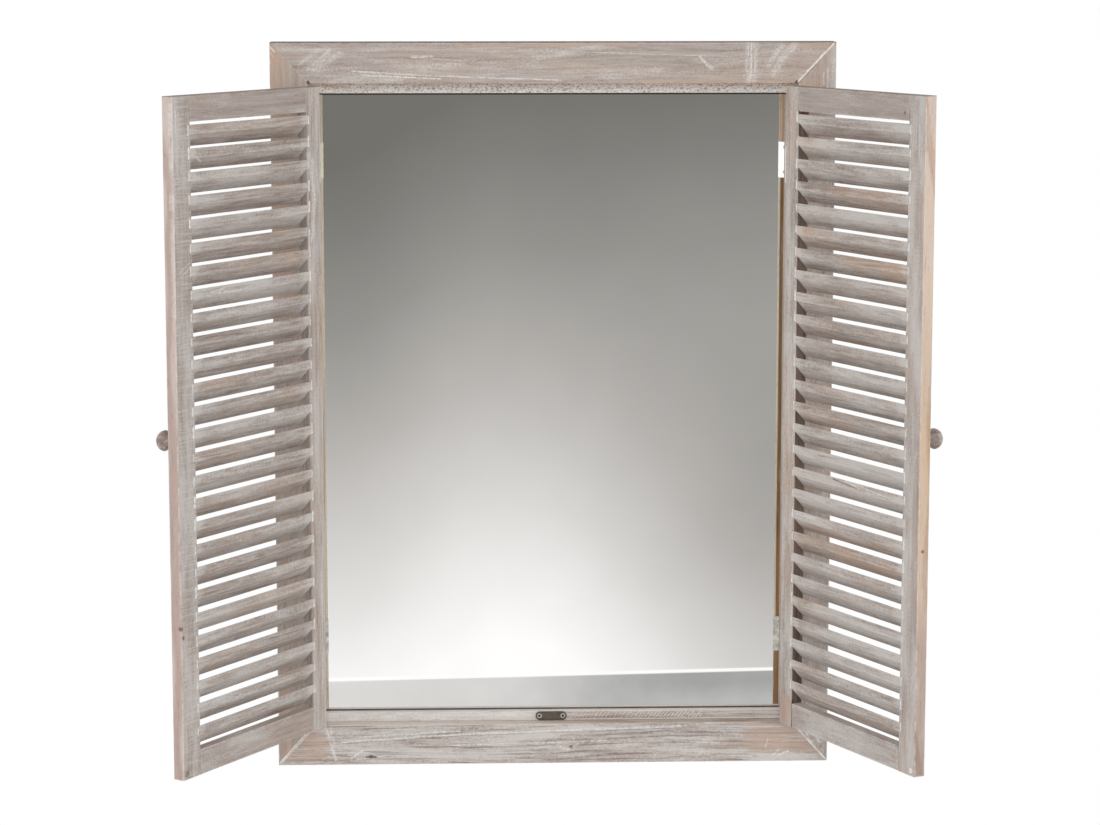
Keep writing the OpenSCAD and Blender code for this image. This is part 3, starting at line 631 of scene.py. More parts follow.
def metal_finish(name, colour, worn, roughness):
    """Plated or dull metal: fine scratches and clouded plating."""
    material, tree, shader, coords = new_finish(name)
    cloud = streaks(tree, coords, 90, 90, detail=3, rough=0.6)
    fine = streaks(tree, coords, 500, 2000, detail=2, rough=0.6, turn=(0.3, 0.5, 0.2))
    plating = card(tree, cloud, ((0.35, worn), (0.62, colour)))
    rough = times_plus(tree, fine, 0.18, times_plus(tree, cloud, 0.12, roughness - 0.12))
    link_finish(tree, shader, plating, rough, fine, 0.25, 0.08)
    shader.inputs["Metallic"].default_value = 1.0
    return material


def strike_screw_finish():
    """Countersunk heads: a bright rim round a near-black middle over the recess."""
    material, tree, shader, coords = new_finish("strike screw steel")
    low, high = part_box("strike_screws")
    reach = (high.z - low.z) / 2
    x, y, z = put(tree, "SeparateXYZ", {0: coords}).outputs[:3]
    spot = pack(tree, x, 0.0, z)
    away = calc(tree, "MINIMUM", length_of(tree, "DISTANCE", spot, (low.x + reach, 0, low.z + reach)),
                length_of(tree, "DISTANCE", spot, (high.x - reach, 0, low.z + reach)))
    rim = grade(tree, away, 0.42 * reach, 0.6 * reach)
    cloud = streaks(tree, coords, 700, 700, detail=2)
    steel = coat(tree, grade(tree, cloud, 0.35, 0.6), (0.62, 0.60, 0.57, 1), (0.80, 0.78, 0.75, 1))
    tree.links.new(coat(tree, rim, (0.045, 0.04, 0.036, 1), steel), shader.inputs["Base Color"])
    tree.links.new(grade(tree, cloud, 0.3, 0.7, 0.35, 0.5), shader.inputs["Roughness"])
    shader.inputs["Metallic"].default_value = 1.0
    return material


def hardboard_finish():
    """Pressed fibre board: brown, flecked, smooth outside."""
    material, tree, shader, coords = new_finish("pressed fibre board")
    fleck = streaks(tree, coords, 700, 700, detail=3, rough=0.7)
    cloud = streaks(tree, coords, 9, 9, detail=3, rough=0.6)
    base = card(tree, fleck, ((0.36, paint(104, 72, 48)), (0.55, paint(134, 98, 68)),
                              (0.7, paint(160, 124, 90))))
    base = coat(tree, grade(tree, cloud, 0.4, 0.7, 0.0, 0.35), base, paint(120, 86, 60))
    link_finish(tree, shader, base, grade(tree, fleck, 0.3, 0.7, 0.5, 0.68), fleck, 0.3, 0.2)
    return material


def filler_finish(name, dim, bright):
    """Dry white filler, a little dirty."""
    material, tree, shader, coords = new_finish(name)
    crumbs = streaks(tree, coords, 900, 900, detail=3, rough=0.7)
    cloud = streaks(tree, coords, 120, 120, detail=2)
    base = card(tree, cloud, ((0.35, paint(*dim)), (0.6, paint(*bright))))
    link_finish(tree, shader, base, grade(tree, crumbs, 0.3, 0.7, 0.75, 0.95), crumbs, 0.5, 0.2)
    return material


def knob_finish(side):
    """Stained wood under thin grey paint, worn pale on the dome."""
    material, tree, shader, coords = new_finish(side + " knob wood")
    x, y, z = own_axes(tree, coords, PLACES[side])[:3]
    grain = streaks(tree, pack(tree, y, x, z), 30, 420, detail=3, rough=0.6)
    cloud = streaks(tree, coords, 140, 140, detail=2)
    height = grade(tree, y, (PIN_STAND - KNOB_H) * MM, (PIN_STAND - 10) * MM)
    base = card(tree, grain, ((0.34, paint(140, 122, 116)), (0.52, paint(172, 154, 147)),
                              (0.7, paint(196, 180, 172))))
    base = coat(tree, times(tree, height, 0.35), base, paint(120, 100, 92))
    base = coat(tree, grade(tree, cloud, 0.52, 0.66, 0.0, 0.6), base, paint(212, 202, 196))
    link_finish(tree, shader, base, grade(tree, grain, 0.3, 0.7, 0.5, 0.66), grain, 0.35, 0.2)
    return material


ZINC = metal_finish("bright zinc plate", (0.95, 0.95, 0.93, 1), (0.84, 0.84, 0.82, 1), 0.32)
DULL_ZINC = metal_finish("dull zinc plate", (0.80, 0.80, 0.74, 1), (0.34, 0.34, 0.30, 1), 0.40)
YELLOW_ZINC = metal_finish("yellowed zinc plate", (0.86, 0.84, 0.68, 1), (0.66, 0.64, 0.50, 1), 0.42)
NAIL_STEEL = metal_finish("plain steel", (0.52, 0.51, 0.50, 1), (0.40, 0.39, 0.38, 1), 0.42)
DARK_STEEL = metal_finish("dark brushed steel", (0.215, 0.185, 0.155, 1), (0.14, 0.12, 0.10, 1), 0.45)
BRIGHT_NICKEL = metal_finish("bright nickel plate", (0.80, 0.79, 0.76, 1), (0.66, 0.65, 0.62, 1), 0.22)
DULL_NICKEL = metal_finish("dull nickel plate", (0.30, 0.29, 0.27, 1), (0.20, 0.19, 0.18, 1), 0.4)
FILLER = filler_finish("white filler", (224, 217, 210), (248, 244, 239))
GREY_FILLER = filler_finish("dirty filler", (176, 164, 154), (204, 194, 185))


# The brush missed the boards' backs and inner edges, and their tops are darker
MISSED_BACK = ("y", -5, -1.5)
DARKER_TOP = skin("z", TOP_Z, -1, 0.8)
# Painted shade: a dark band on the battens where they meet the glass
GLASS_CORNER_SHADE = ("y", GLASS_Y - 4.4, GLASS_Y - 3.8)


def finish_top_board():
    """Broad crossed strokes beside the left mitre, long thin ones after them, and a few more to the right."""
    finish_board(
        "top_board", "frame", "x", 3, wash=0.52, warm=0.3, bare=(MISSED_BACK, skin("z", OPEN_TOP, 1)),
        bare_wood=(190, 158, 134), dark=(DARKER_TOP,),
        strokes=[(-276.8, -0.9, -257.1, 14.3, 5.0, 0.5), (-268.2, -5.2, -246.2, 12.1, 6.0, 0.55),
                 (-262.8, -8.5, -250.7, 3.4, 3.6, 0.9), (-259.5, -7.4, -233.2, 11.0, 6.0, 0.5),
                 (-220.3, -8.5, -154.9, -13.0, 1.5, 2.2), (-209.5, -12.9, -124.4, -17.4, 1.3, 2.2),
                 (-154.9, -13.0, 7.0, -19.0, 1.3, 1.4), (-154.8, 6.6, -133.0, 7.6, 2.2, 1.4),
                 (-146, 5.5, -63, 0.0, 1.0, 0.7), (33, 11.8, 204, 6.1, 0.9, 0.7),
                 (160.1, 6.2, 166.8, -1.4, 2.4, 1.5), (166.8, -1.4, 173.4, -5.8, 2.4, 1.4),
                 (217.0, 18.6, 216.6, -17.5, 11.0, 1.0), (263.2, 18.0, 250.2, 5.0, 8.0, 0.7),
                 (250.2, 5.0, 241.6, -12.4, 7.0, 0.65), (249.4, 18.1, 236, -3, 6.0, 0.6)],
        worn=[(-103, 19.8, 90, 20.2, 3.0, 2), (262, 18.5, 300, 18.5, 5.0, 2),
              (94, -20.2, 262, -20.4, 2.6, 2)],
        slits=[(-268.4, -20.4, -267.4, -22.2, 1.9, 4), (266.8, -20.6, 266.2, -22.3, 1.9, 4)])


def finish_bottom_board():
    """Two upright strokes beside the left mitre, long ones that rise to the right, and dabs round knots."""
    finish_board(
        "bottom_board", "frame", "x", 8, wash=0.7, warm=0.25, figure=1.1, brush=1.9, lines=1.0,
        bare=(MISSED_BACK, skin("z", OPEN_BASE, -1)),
        bare_wood=("x", ((-120, (222, 212, 205)), (120, (192, 178, 166)))),
        knots=((-206, FRONT_Y, -778.6, 3.4), (19.6, FRONT_Y, -769, 3.0)),
        strokes=[(-256.6, -744.5, -245.7, -781.7, 3.2, 0.8), (-251.0, -744.6, -247.8, -764.3, 2.6, 0.8),
                 (-238.7, -761.2, -105.8, -753.2, 1.5, 2.4), (-105.8, -753.2, 142.9, -745.8, 1.6, 2.4),
                 (-218.5, -755.3, -105.8, -749.6, 1.4, 2.2), (141, -744.6, 195, -741.9, 1.2, 1.6),
                 (-227.7, -779.6, -214.1, -770.4, 2.0, 1.4), (-222, -781, -190, -777, 1.6, 1.4),
                 (7.1, -768.9, 16.2, -772.5, 1.4, 1.4), (16.2, -772.5, 27.5, -765.6, 1.2, 1.4),
                 (161.3, -782, 168.1, -776.2, 1.6, 1.4), (248.8, -780.4, 254.4, -774.7, 1.4, 1.4),
                 (253, -781, 266, -776, 1.6, 1.2), (239.6, -772.2, 242.9, -760.6, 1.2, 0.8),
                 (143, -763.2, 188, -765.9, 0.9, 1.0), (-120, -766, 60, -762, 1.1, 1.4)],
        worn=[(-300, -765, -270, -765, 24.0, 1.6), (232, -762, 300, -762, 26.0, 1.1)],
        slits=[(-211.9, -778.6, -200.6, -778.8, 1.2, 3), (-238, -763.1, -105.8, -755.1, 0.9, 0.4),
               (-105.8, -755.1, 142.9, -747.8, 0.9, 0.35)])


def finish_side_boards():
    """Warmer than the others, with dabs at the corners where they show beside the shutters."""
    finish_board("left_board", "frame", "z", 12, wash=0.3, warm=0.8, lines=0.05, dark=(DARKER_TOP,),
                 bare=(MISSED_BACK, skin("x", -OPEN_X, -1)), bare_wood=(178, 158, 140),
                 strokes=[(-308.5, 17, -304.5, 12.5, 1.4, 1.2), (-309, 11, -306, 7, 1.0, 1.0)])
    finish_board("right_board", "frame", "z", 21, wash=0.6, warm=0.9, brush=1.2, lines=0.05,
                 dark=(DARKER_TOP,), bare=(MISSED_BACK, skin("x", OPEN_X, 1)), bare_wood=(178, 158, 140),
                 worn=[(286, 14, 286, -60, 24, 0.8)],
                 strokes=[(301, -7, 301.5, -27, 2.2, 0.9), (296, -10, 296.5, -24, 1.2, 0.8),
                          (306, 2, 306, -18, 1.4, 0.8), (283.7, -751.6, 292.9, -765.7, 1.9, 2),
                          (288.2, -751.7, 299.7, -761.1, 1.7, 2), (292.8, -754.1, 302.0, -765.8, 1.9, 2),
                          (286, -757, 300, -759, 1.4, 1.0)])


def finish_stops():
    """Battens thick with speckled paint, with painted shade in the corner against the glass. The bottom one
    has a white ledge and two rows of short strokes to the right of the strike plate."""
    finish_board("top_stop", "frame", "x", 31, wash=0.9, warm=0.2, figure=1.3, speckle=1.3,
                 dark=(GLASS_CORNER_SHADE,), coats=(("z", -26.5, -32, 0.9), ("x", -246, -258, 1.0)),
                 worn=[(-252, -25, -226, -27, 3.0, 2), (-150, -24, -128, -26, 2.4, 2)])
    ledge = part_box("bottom_stop")[1].z / MM
    finish_board("bottom_stop", "frame", "x", 35, wash=0.8, warm=0.3, figure=1.5, brush=1.5, lines=0.8,
                 speckle=0.4, dark=(GLASS_CORNER_SHADE,),
                 coats=(("x", 20, -30), skin("z", ledge, -1), ("z", -739.2, -740.4)),
                 combs=[(15, 20, -738.5, 4.4, 5, 7.0, 0.8, 0.9), (21, 84, -738.5, 4.1, 6, 7.0, 1.0, 1.6)],
                 strokes=[(60, -740.6, 262, -740.6, 1.5, 1.4), (18, -731.5, 150, -731.3, 0.9, 1.0)])
    finish_board("left_stop", "frame", "z", 41, wash=0.5, warm=0.5)
    finish_board("right_stop", "frame", "z", 45, wash=0.5, warm=0.5)


def finish_frame():
    finish_top_board()
    finish_bottom_board()
    finish_side_boards()
    finish_stops()
    dress(nodes["mirror_glass"], mirror_finish())
    dress(nodes["backing_panel"], hardboard_finish())
    dress(nodes["strike_plate"], DARK_STEEL)
    dress(nodes["strike_screws"], strike_screw_finish())
    for name in ("backing_screws", "hanger_screws", "left_hanger", "right_hanger", "frame_leaf_screws"):
        dress(nodes[name], ZINC)
    for name in ("mitre_nails", "stop_pins"):
        dress(nodes[name], NAIL_STEEL)
    for side in ("left", "right"):
        for height in ("upper", "lower"):
            dress(nodes[f"{side}_{height}_frame_leaf"], ZINC)
            dress(nodes[f"{side}_{height}_hinge_pin"], ZINC)


def finish_shutter(side, seed, looks):
    """The stiles' sides between the slats are unwashed and darkened with painted shade, and their outer edges
    are barer than the faces.
    """
    toward = 1 if side == "left" else -1
    free = toward * (SHUTTER_W + PIN_GAP)
    hinge = toward * PIN_GAP
    cheek = hinge + toward * HINGE_STILE_W
    far_cheek = free - toward * FREE_STILE_W
    top = skin("z", SHUTTER_TOP, -1, 0.6)
    # Painted shade, over unwashed wood, darkens each stile's side between the slats
    finish_board(side + "_free_stile", side, "z", seed, bare=(skin("x", free, -toward),),
                 dark=(top, skin("x", far_cheek, toward, looks["unwashed_shaded_cheeks"])), **looks["free_stile"])
    # The hinge edge's pale arris band is worn wood, brightened in part as a painted highlight
    finish_board(side + "_hinge_stile", side, "z", seed + 1, bare=(skin("x", hinge, toward),),
                 bare_wood=("y", INNER_FACE - 2.9, INNER_FACE - 2.1, looks["edge"], looks["worn_arris_and_highlight"]),
                 dark=(top, skin("x", cheek, -toward, looks["unwashed_shaded_cheeks"])), **looks["hinge_stile"])
    finish_board(side + "_top_rail", side, "x", seed + 2, dark=(top,), **looks["top_rail"])
    finish_board(side + "_bottom_rail", side, "x", seed + 3, **looks["bottom_rail"])
    finish_slats(side, seed, looks["slats"])
    finish_board(side + "_dowels", side, "x", seed + 4, wash=0.0, warm=0.0, bare=(EVERYWHERE,))
    dress(nodes[side + "_magnet"], looks["magnet"])
    dress(nodes[side + "_leaf_screws"], NAIL_STEEL)
    dress(nodes[side + "_upper_shutter_leaf"], looks["upper leaf"])
    dress(nodes[side + "_lower_shutter_leaf"], looks["lower leaf"])


# What sets the two shutters apart, with each one's marks on its own axes
LEFT_LOOKS = {
    "free_stile": {"wash": 0.66, "warm": 0.2, "figure": 0.8, "lines": 0.0, "sawn": 1.0, "reach": 4.5,
                   "bare_wood": (206, 188, 180), "knots": ((266, 14, -577, 3.4), (264, 15.6, -587, 2.8)),
                   "strokes": [(266.4, -32, 266.4, -140, 1.1, 1.3), (266.4, -150, 266.4, -250, 1.0, 1),
                               (262, -40, 260, -64, 2.2, 1.0), (246, -60, 246, -110, 1.0, 0.6),
                               (258, -205, 241, -196, 1.6, 0.9), (256, -210, 242, -201, 1.2, 0.8),
                               (266, -580, 266, -720, 0.9, 0.8)]},
    "hinge_stile": {"wash": 0.8, "warm": 0.45, "figure": 1.3, "lines": 0.6, "stripes": 0.3,
                    "strokes": [(22.9, -97.9, 12.4, -147.7, 5.5, 1.0), (12.4, -147.7, 20.9, -190.6, 5.5, 1.0),
                                (16, -105, 16, -185, 5.0, 1.0), (8, -560, 8, -700, 2.5, 0.8)]},
    # Hinge edge: bare pine, with a pale arris that is partly wear and partly a painted highlight
    "edge": (244, 230, 204), "worn_arris_and_highlight": (255, 246, 222),
    "top_rail": {"wash": 0.36, "warm": 0.2, "figure": 0.7},
    "bottom_rail": {"wash": 0.56, "warm": 0.2, "figure": 0.8},
    "slats": {"warm": 0.55, "deep": 0.06, "knots": ((186.1, 0, -230.3, 1.8),),
              "strokes": [(205.5, -229.8, 187.8, -228.3, 1.4, 1.7), (191, -232, 182, -227.5, 1.7, 1.8),
                          (182.6, -232, 150.5, -233, 1.3, 1.4), (227.5, -88.1, 212.2, -94.1, 1.6, 1.0)],
              "slits": []},
    "unwashed_shaded_cheeks": 0.5, "magnet": DULL_NICKEL, "upper leaf": YELLOW_ZINC, "lower leaf": DULL_ZINC}
RIGHT_LOOKS = {
    "free_stile": {"wash": 0.72, "warm": 0.3, "figure": 0.8, "lines": 0.05, "sawn": 0.1,
                   "bare_wood": ("z", ((-24, (218, 194, 178)), (-200, (222, 200, 182)),
                                       (-360, (214, 186, 158)), (-540, (216, 192, 172)),
                                       (-600, (190, 168, 154)), (-740, (184, 164, 152)))),
                   "knots": ((-267, 10, -498, 2.6),),
                   "strokes": [(-250, -44, -250, -80, 1.4, 0.8), (-256, -52, -256, -88, 1.0, 0.8)]},
    "edge": ("z", ((-108, (234, 208, 184)), (-128, (160, 128, 92)), (-520, (150, 118, 84)),
                   (-580, (176, 138, 100)))),
    # The pale arris is partly wear and partly a painted highlight
    "worn_arris_and_highlight": ("z", ((-108, (234, 208, 184)), (-128, (255, 246, 222)), (-650, (255, 240, 206)),
                         (-672, (186, 148, 108)))),
    "hinge_stile": {"wash": 0.78, "warm": 0.6, "figure": 1.2, "lines": 0.5, "stripes": 0.3,
                    "strokes": [(-25.4, -79.4, -27.2, -84.8, 2.6, 1.8)],
                    "worn": [(-14, -739, -14, -714, 13.0, 6)], "slits": [(-26.6, -741, -26.6, -709, 1.5, 4)]},
    "top_rail": {"wash": 0.46, "warm": 0.15, "figure": 0.7, "knots": ((-229, 15.6, -43.5, 2.4),)},
    "bottom_rail": {"wash": 0.68, "warm": 0.2, "figure": 0.8},
    "slats": {"warm": 0.95, "deep": 0.18, "knots": (),
              "strokes": [(-72, -440.4, -96, -442.3, 2.4, 1.8), (-113.7, -440.7, -175.8, -447.5, 1.3, 1.7),
                          (-127.5, -444.1, -160.4, -448.4, 1.4, 1.6),
                          (-160.5, -446.5, -204.2, -449.5, 1.3, 1.3),
                          (-26.3, -492.3, -85.2, -489.4, 2.0, 1.8), (-30.5, -496.1, -71.2, -495, 1.8, 1.6)],
              "slits": [(-104, -445.5, -150, -449, 0.9, 1.4)]},
    "unwashed_shaded_cheeks": 1.0, "magnet": BRIGHT_NICKEL, "upper leaf": ZINC, "lower leaf": DULL_ZINC}


finish_frame()
finish_shutter("left", 60, LEFT_LOOKS)
finish_shutter("right", 80, RIGHT_LOOKS)


# ---- New pieces ----

def settle(piece, matrix):
    """Puts a piece where it belongs, with its place in its mesh."""
    piece.matrix_world = matrix
    bpy.ops.object.select_all(action="DESELECT")
    piece.select_set(True)
    bpy.context.view_layer.objects.active = piece
    bpy.ops.object.transform_apply(location=True, rotation=True, scale=True)


def draw_up(name, sides, rings):
    """Starts from a ring and draws it up along Z; each further ring is (radius, height, sideways shift)."""
    bpy.ops.object.select_all(action="DESELECT")
    bpy.ops.mesh.primitive_circle_add(vertices=sides, radius=rings[0][0] * MM, fill_type="NGON")
    piece = bpy.context.object
    piece.name = name
    bpy.ops.object.mode_set(mode="EDIT")
    bpy.ops.mesh.select_all(action="SELECT")
    for (radius, height, aside), (wider, higher, further) in zip(rings, rings[1:]):
        bpy.ops.mesh.extrude_region_move(
            TRANSFORM_OT_translate={"value": ((further - aside) * MM, 0, (higher - height) * MM)})
        share = wider / radius
        bpy.ops.transform.resize(value=(share, share, 1), center_override=(further * MM, 0, higher * MM))
    bpy.ops.mesh.select_all(action="SELECT")
    bpy.ops.mesh.normals_make_consistent(inside=False)
    bpy.ops.object.mode_set(mode="OBJECT")
    return piece


def turn_knob(side):
    """Turned from the foot up to a flat dome."""
    rings = [(6.0, 0.0), (6.15, 0.5), (5.9, 1.1), (5.35, 1.8), (5.25, 3.0), (5.6, 4.6), (6.4, 6.3),
             (7.6, 8.2), (9.1, 10.2), (10.4, 12.0), (10.95, 13.1), (11.0, 13.9), (10.75, 15.0),
             (10.0, 16.8), (8.7, 18.6), (6.8, 20.2), (4.4, 21.3), (2.0, 21.85), (0.8, KNOB_H)]
    knob = draw_up(side + "_turned_knob", 48, [(radius, height, 0) for radius, height in rings])
    toward = 1 if side == "left" else -1
    middle = Vector((toward * (SHUTTER_W + PIN_GAP - KNOB_INSET), PIN_STAND, SHUTTER_TOP - SHUTTER_H / 2))
    forward = Matrix.Rotation(math.pi / 2, 4, "X")
    settle(knob, place_matrix(PLACES[side]) @ Matrix.Translation(middle * MM) @ forward)
    bpy.ops.object.shade_smooth_by_angle(angle=math.radians(50))
    dress(knob, knob_finish(side))
    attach(knob, side + "_shutter")
    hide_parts(side + "_knob")


def filler_rings(rolls, length, radius, steps, wander):
    """A squeezed line of filler: thin ends, uneven between."""
    rings = [(0.3 * radius, 0.0, 0.0)]
    for step in range(1, steps):
        rings.append((radius * rolls.uniform(0.7, 1.25), length * (step + rolls.uniform(-0.2, 0.2)) / steps,
                      rolls.uniform(-wander, wander)))
    rings.append((0.3 * radius, length, 0.0))
    return rings


def fill_mitre(name, start, end, radius, seed, finish, aside=0.0):
    """Filler along one mitre, pressed flat on the frame's face; start and end are (x, z)."""
    rolls = random.Random(seed)
    run = Vector((end[0] - start[0], 0, end[1] - start[1]))
    line = draw_up(name, 8, filler_rings(rolls, run.length, radius, 26, 0.18 * radius))
    over = Vector((run.z, 0, -run.x)).normalized() * aside
    base = Vector((start[0], FRONT_Y - 0.02, start[1])) + over
    lean = Matrix.Rotation(math.atan2(run.x, run.z), 4, "Y")
    settle(line, Matrix.Translation(base * MM) @ lean @ Matrix.Diagonal((1, 0.3, 1, 1)))
    bpy.ops.object.shade_smooth_by_angle(angle=math.radians(60))
    dress(line, finish)
    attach(line, "frame")


def filler_patterns(rolls):
    """Five short lines of filler, each longer and thicker; the last two ran down before they dried."""
    patterns = []
    for number in range(5):
        length = SLAT_NOSE * (0.8 + 0.12 * number)
        rings = filler_rings(rolls, length, 0.85 + 0.12 * number, 6, 0.35)
        if number > 2:
            rings[1] = (1.1 + 0.2 * number, 1.2, 0.1)
        patterns.append(draw_up(f"filler_pattern_{number}", 6, rings))
    return patterns


def fill_slat_ends(side, seed):
    """A short line of filler beside each slat's nose, on both stiles, in one piece."""
    rolls = random.Random(seed)
    toward = 1 if side == "left" else -1
    patterns = filler_patterns(rolls)
    pressed = Matrix.Diagonal((1, 0.4, 1, 1))
    lines = []
    for edge in (PIN_GAP + HINGE_STILE_W - SLAT_HOUSE, PIN_GAP + SHUTTER_W - FREE_STILE_W + SLAT_HOUSE):
        for slat in range(SLAT_COUNT):
            pattern = rolls.choice(patterns)
            line = pattern.copy()
            line.data = pattern.data.copy()
            scene.collection.objects.link(line)
            foot = SLAT_TOP - slat * SLAT_PITCH - SLAT_NOSE - rolls.uniform(-1.0, 2.0)
            base = Vector((toward * (edge + rolls.uniform(-0.4, 0.4)), INNER_FACE, foot))
            lean = Matrix.Rotation(rolls.uniform(-0.04, 0.04), 4, "Y")
            line.matrix_world = place_matrix(PLACES[side]) @ Matrix.Translation(base * MM) @ lean @ pressed
            lines.append(line)
    for pattern in patterns:
        bpy.data.objects.remove(pattern)
    bpy.ops.object.select_all(action="DESELECT")
    for line in lines:
        line.select_set(True)
    bpy.context.view_layer.objects.active = lines[0]
    bpy.ops.object.join()
    filler = bpy.context.object
    filler.name = side + "_slat_filler"
    bpy.ops.object.transform_apply(location=True, rotation=True, scale=True)
    bpy.ops.object.shade_smooth_by_angle(angle=math.radians(60))
    dress(filler, FILLER)
    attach(filler, side + "_shutter")


for side in ("left", "right"):
    turn_knob(side)
fill_slat_ends("left", 5)
fill_slat_ends("right", 6)
fill_mitre("top_right_mitre_filler", (267.6, -21.2), (308.0, 21.6), 1.15, 11, FILLER)
fill_mitre("bottom_right_mitre_filler", (269.6, -742.4), (309.4, -786.6), 0.95, 12, FILLER)
fill_mitre("bottom_left_mitre_filler", (-272.0, -744.6), (-309.2, -786.4), 0.65, 13, FILLER, 0.9)
fill_mitre("bottom_left_second_filler", (-274.0, -746.6), (-309.4, -785.4), 0.5, 14, FILLER, -1.3)
fill_mitre("top_left_mitre_filler", (-270.0, -21.0), (-309.0, 20.8), 0.3, 15, GREY_FILLER)


# ---- Studio ----

CAMERA_PLACE = (-0.1210, -3.4363, 0.1280)
CAMERA_LENS = 101.3
CAMERA_DOWN = 8.599
CAMERA_ASIDE = -1.968
LAMP_AIM = (0, 0, -0.4)
FLOOR_MIDDLE = (0, -0.2, -1.14)
CARD_MIDDLE = (0, -4.0, -0.7)
CARD_SIZE = (24.0, 6.0, 1.0)
CARD_EDGE_DROP = 1.6451
CARD_EDGE_SLOPE = 0.0173


def set_camera():
    data = bpy.data.cameras.new("camera")
    data.sensor_width = 36.0
    data.lens = CAMERA_LENS
    camera = bpy.data.objects.new("camera", data)
    scene.collection.objects.link(camera)
    camera.location = CAMERA_PLACE
    camera.rotation_euler = Euler((math.radians(90 - CAMERA_DOWN), 0, math.radians(CAMERA_ASIDE)))
    scene.camera = camera


def seen_plainly(tree):
    """1 for what the camera sees, straight or in metal and glass."""
    rays = tree.nodes.new("ShaderNodeLightPath").outputs
    both = larger(tree, rays["Is Camera Ray"], rays["Is Glossy Ray"])
    return larger(tree, both, rays["Is Transmission Ray"])


def set_world():
    """Plain white to look at, and a softer white for what it lights."""
    world = bpy.data.worlds.new("studio")
    scene.world = world
    world.use_nodes = True
    tree = world.node_tree
    tree.nodes.clear()
    fill = put(tree, "Background", {"Color": (1, 1, 1, 1), "Strength": 0.56})
    white = put(tree, "Background", {"Color": (1, 1, 1, 1), "Strength": 1.0})
    both = put(tree, "MixShader", {0: seen_plainly(tree), 1: fill.outputs[0], 2: white.outputs[0]})
    out = tree.nodes.new("ShaderNodeOutputWorld")
    tree.links.new(both.outputs[0], out.inputs[0])


def hang_lamp(name, place, size, power):
    """A soft square lamp, turned to the frame's middle."""
    data = bpy.data.lights.new(name, "AREA")
    data.shape = "SQUARE"
    data.size = size
    data.energy = power
    lamp = bpy.data.objects.new(name, data)
    scene.collection.objects.link(lamp)
    lamp.location = place
    lamp.rotation_euler = (Vector(LAMP_AIM) - Vector(place)).to_track_quat("-Z", "Y").to_euler()
    lamp.visible_camera = False


def lay_floor():
    """Pale floor that keeps the soft shadow and fades to white further out."""
    bpy.ops.object.select_all(action="DESELECT")
    bpy.ops.mesh.primitive_circle_add(vertices=96, radius=3.2, fill_type="NGON", location=FLOOR_MIDDLE)
    floor = bpy.context.object
    floor.name = "floor"
    bpy.ops.object.transform_apply(location=True, rotation=True, scale=True)
    material, tree, shader, coords = new_finish("pale floor")
    cloud = streaks(tree, coords, 2, 2, detail=2)
    tree.links.new(card(tree, cloud, ((0.3, (0.84, 0.84, 0.84, 1)), (0.7, (0.88, 0.88, 0.88, 1)))),
                   shader.inputs["Base Color"])
    shader.inputs["Roughness"].default_value = 0.8
    white = put(tree, "Emission", {"Color": (1, 1, 1, 1), "Strength": 1.0})
    away = length_of(tree, "DISTANCE", coords, FLOOR_MIDDLE)
    amount = times(tree, grade(tree, away, 0.6, 1.1), seen_plainly(tree))
    both = put(tree, "MixShader", {0: amount, 1: shader.outputs[0], 2: white.outputs[0]})
    out = next(node for node in tree.nodes if node.type == "OUTPUT_MATERIAL")
    tree.links.new(both.outputs[0], out.inputs[0])
    dress(floor, material)
    floor.visible_glossy = False
    material.cycles.emission_sampling = "NONE"


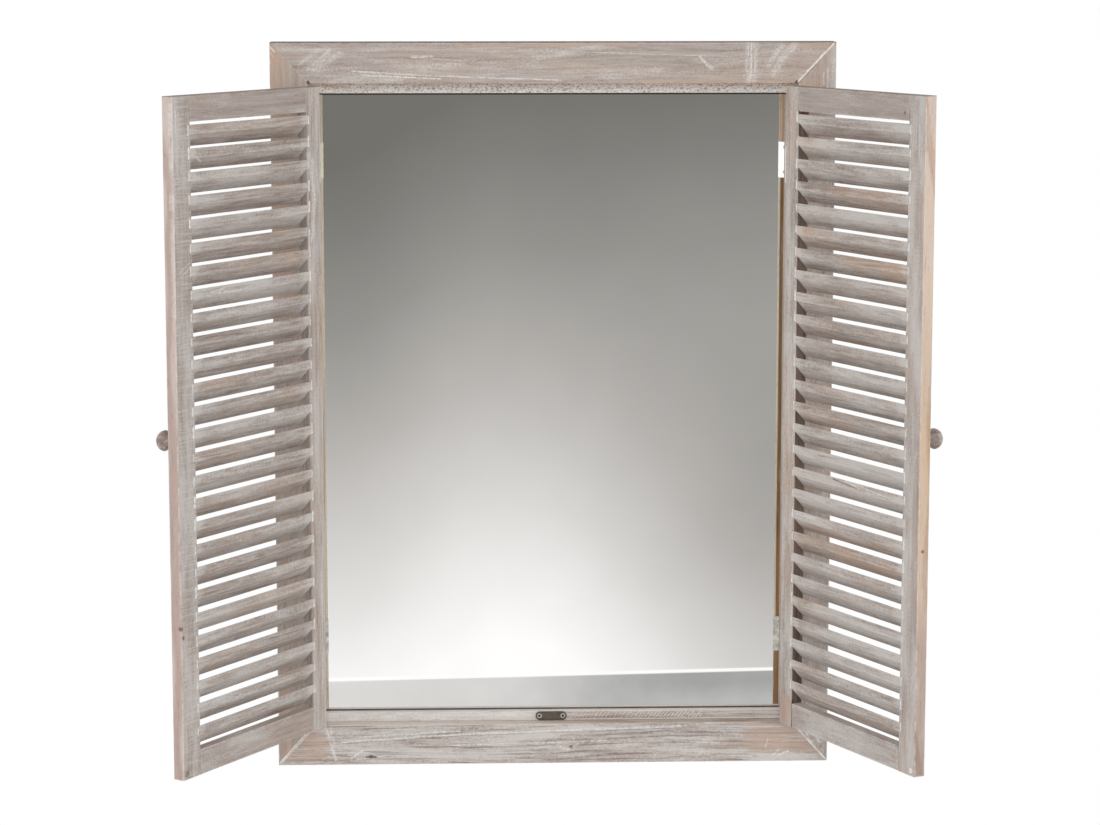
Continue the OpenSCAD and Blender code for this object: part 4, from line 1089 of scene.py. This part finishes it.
def card_colour(tree, coords):
    """The painted reflection: a wall that brightens downwards and dims to both sides, over a pale floor."""
    x, y, z = put(tree, "SeparateXYZ", {0: coords}).outputs[:3]
    left = grade(tree, x, 0.02, -0.42, 0.0, 0.10)
    right = times(tree, grade(tree, x, 0.05, 0.75), grade(tree, z, -0.45, -1.40, -0.03, 0.26))
    level = minus(tree, minus(tree, times(tree, z, -0.5), left), right)
    wall = card(tree, level, ((0.10, paint(116, 114, 109)), (0.19, paint(130, 128, 124)),
                              (0.30, paint(150, 148, 144)), (0.45, paint(184, 181, 178)),
                              (0.60, paint(217, 215, 213)), (0.78, paint(255, 254, 253))))
    mottle = streaks(tree, coords, 9, 9, detail=4, rough=0.65)
    level = times_plus(tree, minus(tree, mottle, 0.5), 0.5, grade(tree, x, -0.1, 0.52, 1.0, 0.0))
    near = times(tree, grade(tree, z, -1.66, -1.72, 0.0, 0.45), grade(tree, x, 0.2, 0.6))
    floor = card(tree, calc(tree, "ADD", level, near),
                 ((0.0, paint(166, 166, 166)), (0.5, paint(192, 191, 191)), (1.0, paint(217, 216, 214))))
    # They meet on a line that slopes a little, with a thin white rim
    edge = times_plus(tree, x, -CARD_EDGE_SLOPE, calc(tree, "ADD", z, CARD_EDGE_DROP))
    shade = coat(tree, grade(tree, edge, -0.004, -0.009), wall, floor)
    rim = times(tree, grade(tree, edge, -0.008, -0.004), grade(tree, edge, 0.004, 0.0))
    return coat(tree, rim, shade, (1, 1, 1, 1))


def hang_card():
    """The studio that the glass shows, painted on one glowing card behind the camera as a painted reflection.
    Only metal and glass see it.
    """
    bpy.ops.object.select_all(action="DESELECT")
    bpy.ops.mesh.primitive_plane_add(size=1.0, location=CARD_MIDDLE, rotation=(math.pi / 2, 0, 0))
    wall = bpy.context.object
    wall.name = "reflection_card"
    wall.scale = CARD_SIZE
    bpy.ops.object.transform_apply(location=True, rotation=True, scale=True)
    material = bpy.data.materials.new("reflection card")
    material.use_nodes = True
    tree = material.node_tree
    tree.nodes.clear()
    coords = tree.nodes.new("ShaderNodeTexCoord").outputs["Object"]
    glow = put(tree, "Emission", {"Color": card_colour(tree, coords), "Strength": 1.05})
    out = tree.nodes.new("ShaderNodeOutputMaterial")
    tree.links.new(glow.outputs[0], out.inputs[0])
    dress(wall, material)
    material.cycles.emission_sampling = "NONE"
    for ray in ("camera", "diffuse", "transmission", "volume_scatter", "shadow"):
        setattr(wall, "visible_" + ray, False)


set_camera()
set_world()
hang_lamp("key lamp", (0.0, -3.8, 1.4), 2.4, 37)
hang_lamp("right lamp", (2.6, -2.4, -0.5), 1.8, 15)
hang_lamp("left lamp", (-2.6, -2.4, -0.2), 1.8, 17)
lay_floor()
hang_card()
